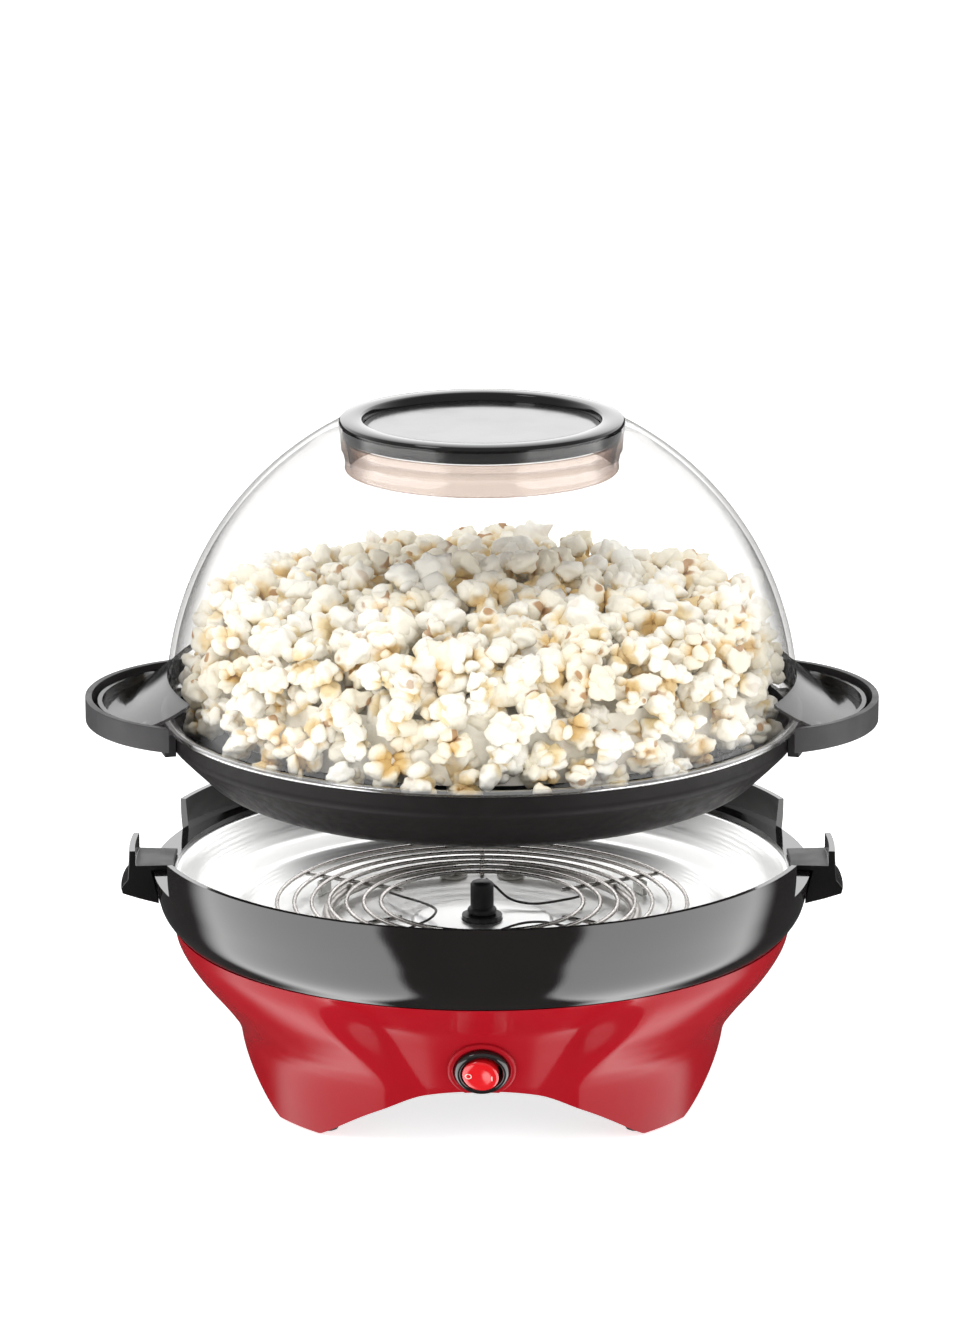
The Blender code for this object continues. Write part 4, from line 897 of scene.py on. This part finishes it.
# %% Pan
SKIRT_Z = PAN_Z + 0.0017
PAN_FLOOR_R = PAN_R - 0.0210
pan_bore = SHAFT_R + 0.0045
pan_top = PAN_FLOOR_Z + 0.0022
skirt_in = PAN_R - WALL
outside = smooth_points([(PAN_R, SKIRT_Z + 0.0030), (PAN_R, SKIRT_Z),
                         (PAN_R - 0.0030, SKIRT_Z - 0.0035), (PAN_R - 0.0095, SKIRT_Z - 0.0100),
                         (PAN_FLOOR_R + 0.0040, PAN_FLOOR_Z + 0.0035),
                         (PAN_FLOOR_R - 0.0030, PAN_FLOOR_Z)], 6)
pan_line = [(PAN_R - 0.0004, PAN_RIM_Z), (PAN_R, PAN_RIM_Z - 0.0004), *outside,
            (pan_bore, PAN_FLOOR_Z), (pan_bore, pan_top), (PAN_FLOOR_R - 0.0040, pan_top),
            (PAN_FLOOR_R + 0.0025, pan_top + 0.0030), (skirt_in - 0.0032, SKIRT_Z - 0.0015),
            (skirt_in, SKIRT_Z + 0.0020), (skirt_in, PAN_RIM_Z)]
pan = turned(pan_line)
TAB_Z, TAB_R = HANDLE_Z - 0.0018, PAN_R + 0.0155
for middle in (0, math.pi):
    tab = swept([(TAB_R, TAB_Z + 0.0015), (TAB_R, TAB_Z), (PAN_R - 0.0012, TAB_Z),
                 (PAN_R - 0.0012, TAB_Z + 0.0015)], middle, math.radians(6), 6)
    join(pan, tab)
piece("pan", pan, COAT, "pan", ["cooking_pan"], edge=0.0004, sharp=40)

# %% [markdown]
# Each handle is a D-shaped tray: half an ellipse in plan, with a wall round it and a foot
# that drops into the notch of the band. It is a prism with a pocket cut in it and the
# pan's own circle bitten out of it.

# %% Handles
def handle_outline(inset, side, count=48):
    centre = PAN_R - 0.0225
    along = TIP_X - centre - inset
    across = 0.0655 - inset
    points = []
    for n in range(count + 1):
        angle = -math.pi / 2 + math.pi * n / count
        points.append((side * (centre + along * math.cos(angle)), across * math.sin(angle)))
    return points


def cylinder(radius, low, high, steps=SIDES):
    return turned([(0, high), (radius, high), (radius, low), (0, low)], steps, closed=False)


keep_out = RIM_R + 0.0010
for name, side in (("right", 1), ("left", -1)):
    tray = prism(handle_outline(0, side), HANDLE_Z, HANDLE_TOP)
    pocket = prism(handle_outline(WALL + 0.0005, side), HANDLE_Z + WALL, HANDLE_TOP + 0.002)
    bite = cylinder(keep_out, HANDLE_Z - 0.004, HANDLE_TOP + 0.004)
    middle = 0 if side > 0 else math.pi
    foot = swept([(keep_out + 0.0020, HANDLE_Z + WALL), (keep_out + 0.0020, HANDLE_Z),
                  (PAN_R + 0.0055, HANDLE_Z), (PAN_R + 0.0055, PAN_Z), (PAN_R + GAP, PAN_Z),
                  (PAN_R + GAP, HANDLE_Z + WALL)], middle, NOTCH_HALF - math.radians(4.5), 14)
    tray = carve(tray, [pocket, bite])
    tray = carve(tray, [foot], 'UNION')
    piece(f"handle_{name}", tray, MATT, "pan", [f"pan_handle_{name}"],
          edge=0.0009, segments=3)

# %% [markdown]
# ## The dome
# The dome is a half sphere with a wall of 2.5 mm, a flange that rests on the pan and a
# round mouth. The collar under the mouth is its own ring, because it is smoky and ribbed.

# %% Dome
dome_in = DOME_R - WALL
seat = CAP_SEAT_Z - 0.0055
low_angle = math.asin((FLANGE_Z + WALL - DOME_Z) / DOME_R)
high_angle = math.asin((CAP_SEAT_Z - 0.0006 - DOME_Z) / DOME_R)
in_angle = math.asin((seat - 0.0040 - DOME_Z) / dome_in)
arc_steps = 48
outside = []
inside = []
for n in range(arc_steps + 1):
    a = high_angle + (low_angle - high_angle) * n / arc_steps
    outside.append((DOME_R * math.cos(a), DOME_Z + DOME_R * math.sin(a)))
    a = low_angle + (in_angle - low_angle) * n / arc_steps
    inside.append((dome_in * math.cos(a), DOME_Z + dome_in * math.sin(a)))
flange = [(FLANGE_R - 0.0010, FLANGE_Z + WALL), (FLANGE_R - 0.0003, FLANGE_Z + WALL - 0.0004),
          (FLANGE_R, FLANGE_Z + WALL - 0.0010), (FLANGE_R, FLANGE_Z + 0.0004),
          (FLANGE_R - 0.0004, FLANGE_Z), (dome_in - 0.0015, FLANGE_Z)]
mouth = [(CAP_R - 0.0028, seat - 0.0040), (CAP_R - 0.0028, seat), (CAP_R - 0.0005, seat),
         (CAP_R + 0.0003, CAP_SEAT_Z)]
piece("dome_shell", turned([*outside, *flange, *inside, *mouth]), CLEAR, "cover",
      ["dome"], sharp=40, other=LIT_EDGE,
      where=lambda face: face.center.z < FLANGE_Z + WALL + 0.0004
      and math.hypot(*face.center[:2]) > DOME_R - 0.0006)

collar_low = CAP_SEAT_Z - 0.0205
MOUTH_R = CAP_R - 0.0020
collar_top = seat - 0.0004
collar_line = [(CAP_R - 0.0006, collar_top), (CAP_R - 0.0008, collar_top - 0.0050),
               (CAP_R - 0.0018, collar_top - 0.0058), (CAP_R - 0.0030, collar_low + 0.0022),
               (CAP_R - 0.0024, collar_low + 0.0012), (CAP_R - 0.0028, collar_low),
               (CAP_R - 0.0050, collar_low), (CAP_R - 0.0050, collar_low + 0.0022),
               (CAP_R - 0.0036, collar_top - 0.0058), (CAP_R - 0.0026, collar_top)]
RIBS, RIB_DEPTH = 90, 0.0025
collar_ring = turned(collar_line, 2 * RIBS)
for v in collar_ring.verts:
    rib = math.cos(RIBS * math.atan2(v.co.y, v.co.x))
    if v.co.z < collar_top - 0.0052:
        v.co.x *= 1 + RIB_DEPTH * rib
        v.co.y *= 1 + RIB_DEPTH * rib
piece("dome_collar", collar_ring, NECK, "cover", sharp=50)

# %% [markdown]
# A clear wing lies over each handle. Its edge is a raised bead that follows the handle's
# D, and inside the bead the sheet rises in a cone to meet the dome. The outline is
# extruded inwards loop by loop, and each loop is given its height, which makes the bead
# and the cone in one skin.

# %% Wings
wing_base = FLANGE_Z + 0.0012
BEAD_RISE, BEAD_FROM, BEAD_TO = 0.0042, 0.0055, 0.0078
SHEET_RISE, SHEET_FROM = 0.0006, 0.0095
CONE_R, CONE_RISE, CONE_RUN = 0.1413, 0.0170, 0.0230
WING_WALL, WING_CUT_R = 0.0014, 0.1414


def wing_height(x, y, inset):
    bead = BEAD_RISE if BEAD_FROM <= inset <= BEAD_TO else 0.0
    if inset > SHEET_FROM:
        bead = SHEET_RISE
    off = math.hypot(x, y) - CONE_R
    cone = CONE_RISE * max(0.0, 1.0 - off / CONE_RUN) ** 1.25
    return wing_base + max(bead, cone)


WING_INSETS = [0.0046, 0.0049, 0.0056, 0.0066, 0.0076, 0.0086, 0.0098, 0.0120, 0.0150, 0.0180,
               0.0210, 0.0240, 0.0270, 0.0300, 0.0330, 0.0370, 0.0420, 0.0480, 0.0540]
for name, side in (("right", 1), ("left", -1)):
    wing = bmesh.new()
    start = handle_outline(WING_INSETS[0], side)
    verts = chain(wing, [(x, y, wing_height(x, y, WING_INSETS[0])) for x, y in start])
    for inset in WING_INSETS[1:]:
        edges = [wing.edges.get(pair) for pair in zip(verts, verts[1:])]
        grown = bmesh.ops.extrude_edge_only(wing, edges=edges)["geom"]
        fresh = {v for v in grown if isinstance(v, bmesh.types.BMVert)}
        places = handle_outline(inset, side)
        following = []
        for v, (x, y) in zip(verts, places):
            mate = next(e.other_vert(v) for e in v.link_edges if e.other_vert(v) in fresh)
            mate.co = (x, y, wing_height(x, y, inset))
            following.append(mate)
        verts = following
    bmesh.ops.recalc_face_normals(wing, faces=wing.faces)
    if sum(f.normal.z for f in wing.faces) < 0:
        bmesh.ops.reverse_faces(wing, faces=wing.faces)
    wing = thicken(wing, WING_WALL)
    wing = carve(wing, [cylinder(WING_CUT_R, FLANGE_Z - 0.01, FLANGE_Z + 0.04)])
    piece(f"wing_{name}", wing, WING, "cover", sharp=50)

# %% [markdown]
# ## The cap
# The cap is a ring of gloss black that drops into the mouth, closed by a disc that sits a
# little lower. Both mirror the bright wall behind, which is why black looks grey here.

# %% Cap
cap_in = CAP_R - 0.0103
plug = MOUTH_R - 0.0030 - 2 * GAP
low = seat + GAP
cap_line = [(CAP_R - 0.0016, CAP_TOP), (CAP_R - 0.0005, CAP_TOP - 0.0004),
            (CAP_R, CAP_TOP - 0.0013), (CAP_R, CAP_SEAT_Z + GAP),
            (CAP_R - 0.0014, CAP_SEAT_Z + GAP), (CAP_R - 0.0014, low), (plug, low),
            (plug, low - 0.0010), (plug - 0.0020, low - 0.0010), (plug - 0.0020, low),
            (cap_in, low), (cap_in, CAP_TOP - 0.0010),
            (cap_in + 0.0004, CAP_TOP - 0.0003), (cap_in + 0.0012, CAP_TOP)]
piece("cap_rim", turned(cap_line), CAP_BLACK, "cap", ["cap_ring"],
      edge=0.0002, sharp=40)
disc_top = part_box("cap_disc")[1].z
disc_line = [(0, disc_top - 0.0003), (0.020, disc_top - 0.0002), (cap_in - 0.004, disc_top),
             (cap_in - 0.0012, disc_top), (cap_in - GAP, disc_top - 0.0006),
             (cap_in - GAP, disc_top - 0.0020), (0, disc_top - 0.0020)]
piece("cap_plate", turned(disc_line, closed=False), SMOKED, "cap",
      ["cap_disc"], sharp=40)

# %% [markdown]
# ## Popcorn
# The popcorn is what the machine holds, not a part of it, so it is staged and only rides
# with the pan. Its colour goes from yellow in the middle of a flake to cream outside, with
# brown bits of hull, and each flake has its own share of them.

# %% Popcorn finish
def popcorn_finish(name):
    material, tree, shader, place = new_finish(name)
    length = tree.nodes.new("ShaderNodeVectorMath")
    length.operation = 'LENGTH'
    link(tree, place, length.inputs[0])
    pick = tree.nodes.new("ShaderNodeObjectInfo").outputs["Random"]
    speckle = noise(tree, place, 260.0, 3.0)
    reach = maths(tree, 'MULTIPLY_ADD', speckle, 0.0050, length.outputs["Value"])
    outward = ramp_between(tree, reach, 0.0072, 0.0118)
    cream = blend_colours(tree, pick, (0.93, 0.87, 0.72), (0.97, 0.95, 0.89))
    yellow = blend_colours(tree, pick, (0.76, 0.52, 0.20), (0.90, 0.78, 0.52))
    body = blend_colours(tree, outward, yellow, cream)
    hull = ramp_between(tree, noise(tree, place, 95.0, 1.0), 0.66, 0.72)
    hull = maths(tree, 'MULTIPLY', hull, ramp_between(tree, pick, 0.35, 0.75, 0.85, 0.15))
    tone = blend_colours(tree, hull, body, (0.42, 0.20, 0.055))
    link(tree, tone, shader.inputs["Base Color"])
    shader.inputs["Roughness"].default_value = 0.75
    shader.inputs["Specular IOR Level"].default_value = 0.25
    add_bump(tree, shader, noise(tree, place, 420.0, 3.0), 0.5, 0.0008)
    return material


POPCORN = popcorn_finish("popped corn")
print("popcorn finish ready")

# %% [markdown]
# A flake is a cluster of burst lobes. Two dozen are modelled once, and many objects share
# their meshes, each turned and sized differently, which costs far less than modelling each
# flake. They lie against the dome and over a mound, in two layers, round a core that hides
# the gaps.

# %% Flakes
rng = random.Random(7)


def flake(number):
    """One burst kernel: lobes of very different sizes crowded round its middle."""
    bm = bmesh.new()
    reach = 0.0
    lobes = rng.randint(6, 8)
    for n in range(lobes):
        way = Vector((rng.gauss(0, 1), rng.gauss(0, 1), rng.gauss(0, 1))).normalized()
        radius = rng.uniform(0.0056, 0.0074) if n < 2 else rng.uniform(0.0030, 0.0058)
        centre = way * rng.uniform(0.0045, 0.0085)
        made = bmesh.ops.create_icosphere(bm, subdivisions=3 if n < 2 else 2, radius=radius)
        squeeze = Vector((rng.uniform(0.7, 1.2), rng.uniform(0.7, 1.2), rng.uniform(0.6, 1.0)))
        bmesh.ops.scale(bm, vec=squeeze, verts=made["verts"])
        for v in made["verts"]:
            v.co *= 1 + 0.55 * perlin.noise(v.co * 260 + Vector((number * 7.1, n * 3.3, 0)))
        bmesh.ops.translate(bm, vec=centre, verts=made["verts"])
        reach = max(reach, max(v.co.length for v in made["verts"]))
    mesh = mesh_of(f"flake_{number}", bm)
    mesh.shade_smooth()
    mesh.materials.append(POPCORN)
    return mesh, reach


FLAKE_SHAPES, FLAKE_GAP, SECOND_LAYER = 24, 0.0140, 0.011
flakes = [flake(n) for n in range(FLAKE_SHAPES)]
CORN_WALL = DOME_R - WALL - 0.0135
CORE_R = 0.118
HEAP_EDGE, HEAP_TOP, HEAP_LOW = 0.217, 0.231, 0.1735


def heap_height(r):
    """Height of the mound's top at radius r."""
    edge = math.sqrt(CORN_WALL**2 - (HEAP_EDGE - DOME_Z)**2)
    return HEAP_EDGE + (HEAP_TOP - HEAP_EDGE) * (1 - min(1.0, r / edge) ** 2.2)


core_line = [(0, HEAP_TOP - 0.020), (0.05, heap_height(0.05) - 0.020),
             (0.09, heap_height(0.09) - 0.019), (0.106, HEAP_EDGE - 0.019),
             (0.116, 0.200), (CORE_R, 0.185), (CORE_R, 0.172), (0, 0.166)]
mesh = mesh_of("popcorn_heap", turned(core_line, 48, closed=False))
mesh.materials.append(POPCORN)
heap = add_object("popcorn_heap", mesh)
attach(heap, "pan")


def scatter(tries, spacing, sink):
    """Random places on the heap's outside, each at least spacing from the others."""
    places = []
    cells = {}
    for _ in range(tries):
        angle = rng.uniform(0, 2 * math.pi)
        if rng.random() < 0.55:
            z = rng.uniform(HEAP_LOW, HEAP_EDGE + 0.004)
            r = math.sqrt(CORN_WALL**2 - (z - DOME_Z)**2) - sink
        else:
            r = CORE_R * math.sqrt(rng.random())
            z = heap_height(r) - sink
            r = min(r, math.sqrt(CORN_WALL**2 - (z - DOME_Z)**2) - sink)
        place = Vector((*polar(r, angle), z + rng.uniform(-0.002, 0.004)))
        key = tuple(int(c / spacing) for c in place)
        near = [p for dx in (-1, 0, 1) for dy in (-1, 0, 1) for dz in (-1, 0, 1)
                for p in cells.get((key[0] + dx, key[1] + dy, key[2] + dz), [])]
        if all((place - p).length > spacing for p in near):
            cells.setdefault(key, []).append(place)
            places.append(place)
    return places


dome_middle = Vector((0, 0, DOME_Z))
spots = scatter(14000, FLAKE_GAP, 0.0) + scatter(8000, FLAKE_GAP, SECOND_LAYER)
for n, place in enumerate(spots):
    shape, reach = flakes[n % len(flakes)]
    obj = add_object(f"flake_{n}", shape)
    room = DOME_R - WALL - 0.0006 - (place - dome_middle).length
    size = min(rng.uniform(0.80, 1.15), room / reach)
    spin = Matrix.Rotation(rng.uniform(0, 2 * math.pi), 4, 'Z')
    spin = spin @ Matrix.Rotation(rng.uniform(0, math.pi), 4, 'X')
    obj.matrix_world = Matrix.Translation(place) @ spin @ Matrix.Scale(size, 4)
    obj.parent = heap
print("flakes:", len(spots))

# %% [markdown]
# ## Finishes for the pieces that stay
# The screws, gears, motor and the other small works keep their CAD shapes. Each only needs
# a better finish than its plain colour.

# %% Small works
kept = {
    RUBBER: ["foot_pad_1", "foot_pad_2", "foot_pad_3", "foot_pad_4", "cord_inlet"],
    DARK: ["bottom_cover", "stirrer_hub", "terminal_block", "shaft_bush"],
    STEEL: ["heat_shield", "grill_clip_1", "grill_clip_2", "grill_clip_3", "motor", "thermostat",
            "stirring_rod", "standoff_1", "standoff_2", "standoff_3"],
    NYLON: ["output_gear", "motor_pinion"],
    CERAMIC: ["element_terminal_1", "element_terminal_2", "thermal_fuse"],
    BRIGHT: ["pan_bushing"],
    BLACK: ["gearbox_housing", "gearbox_lid"],
}
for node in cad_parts:
    if "screw" in node:
        kept[STEEL].append(node)
for material, names in kept.items():
    for name in names:
        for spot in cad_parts[name].material_slots:
            spot.material = material
print("kept nodes:", sum(len(names) for names in kept.values()))
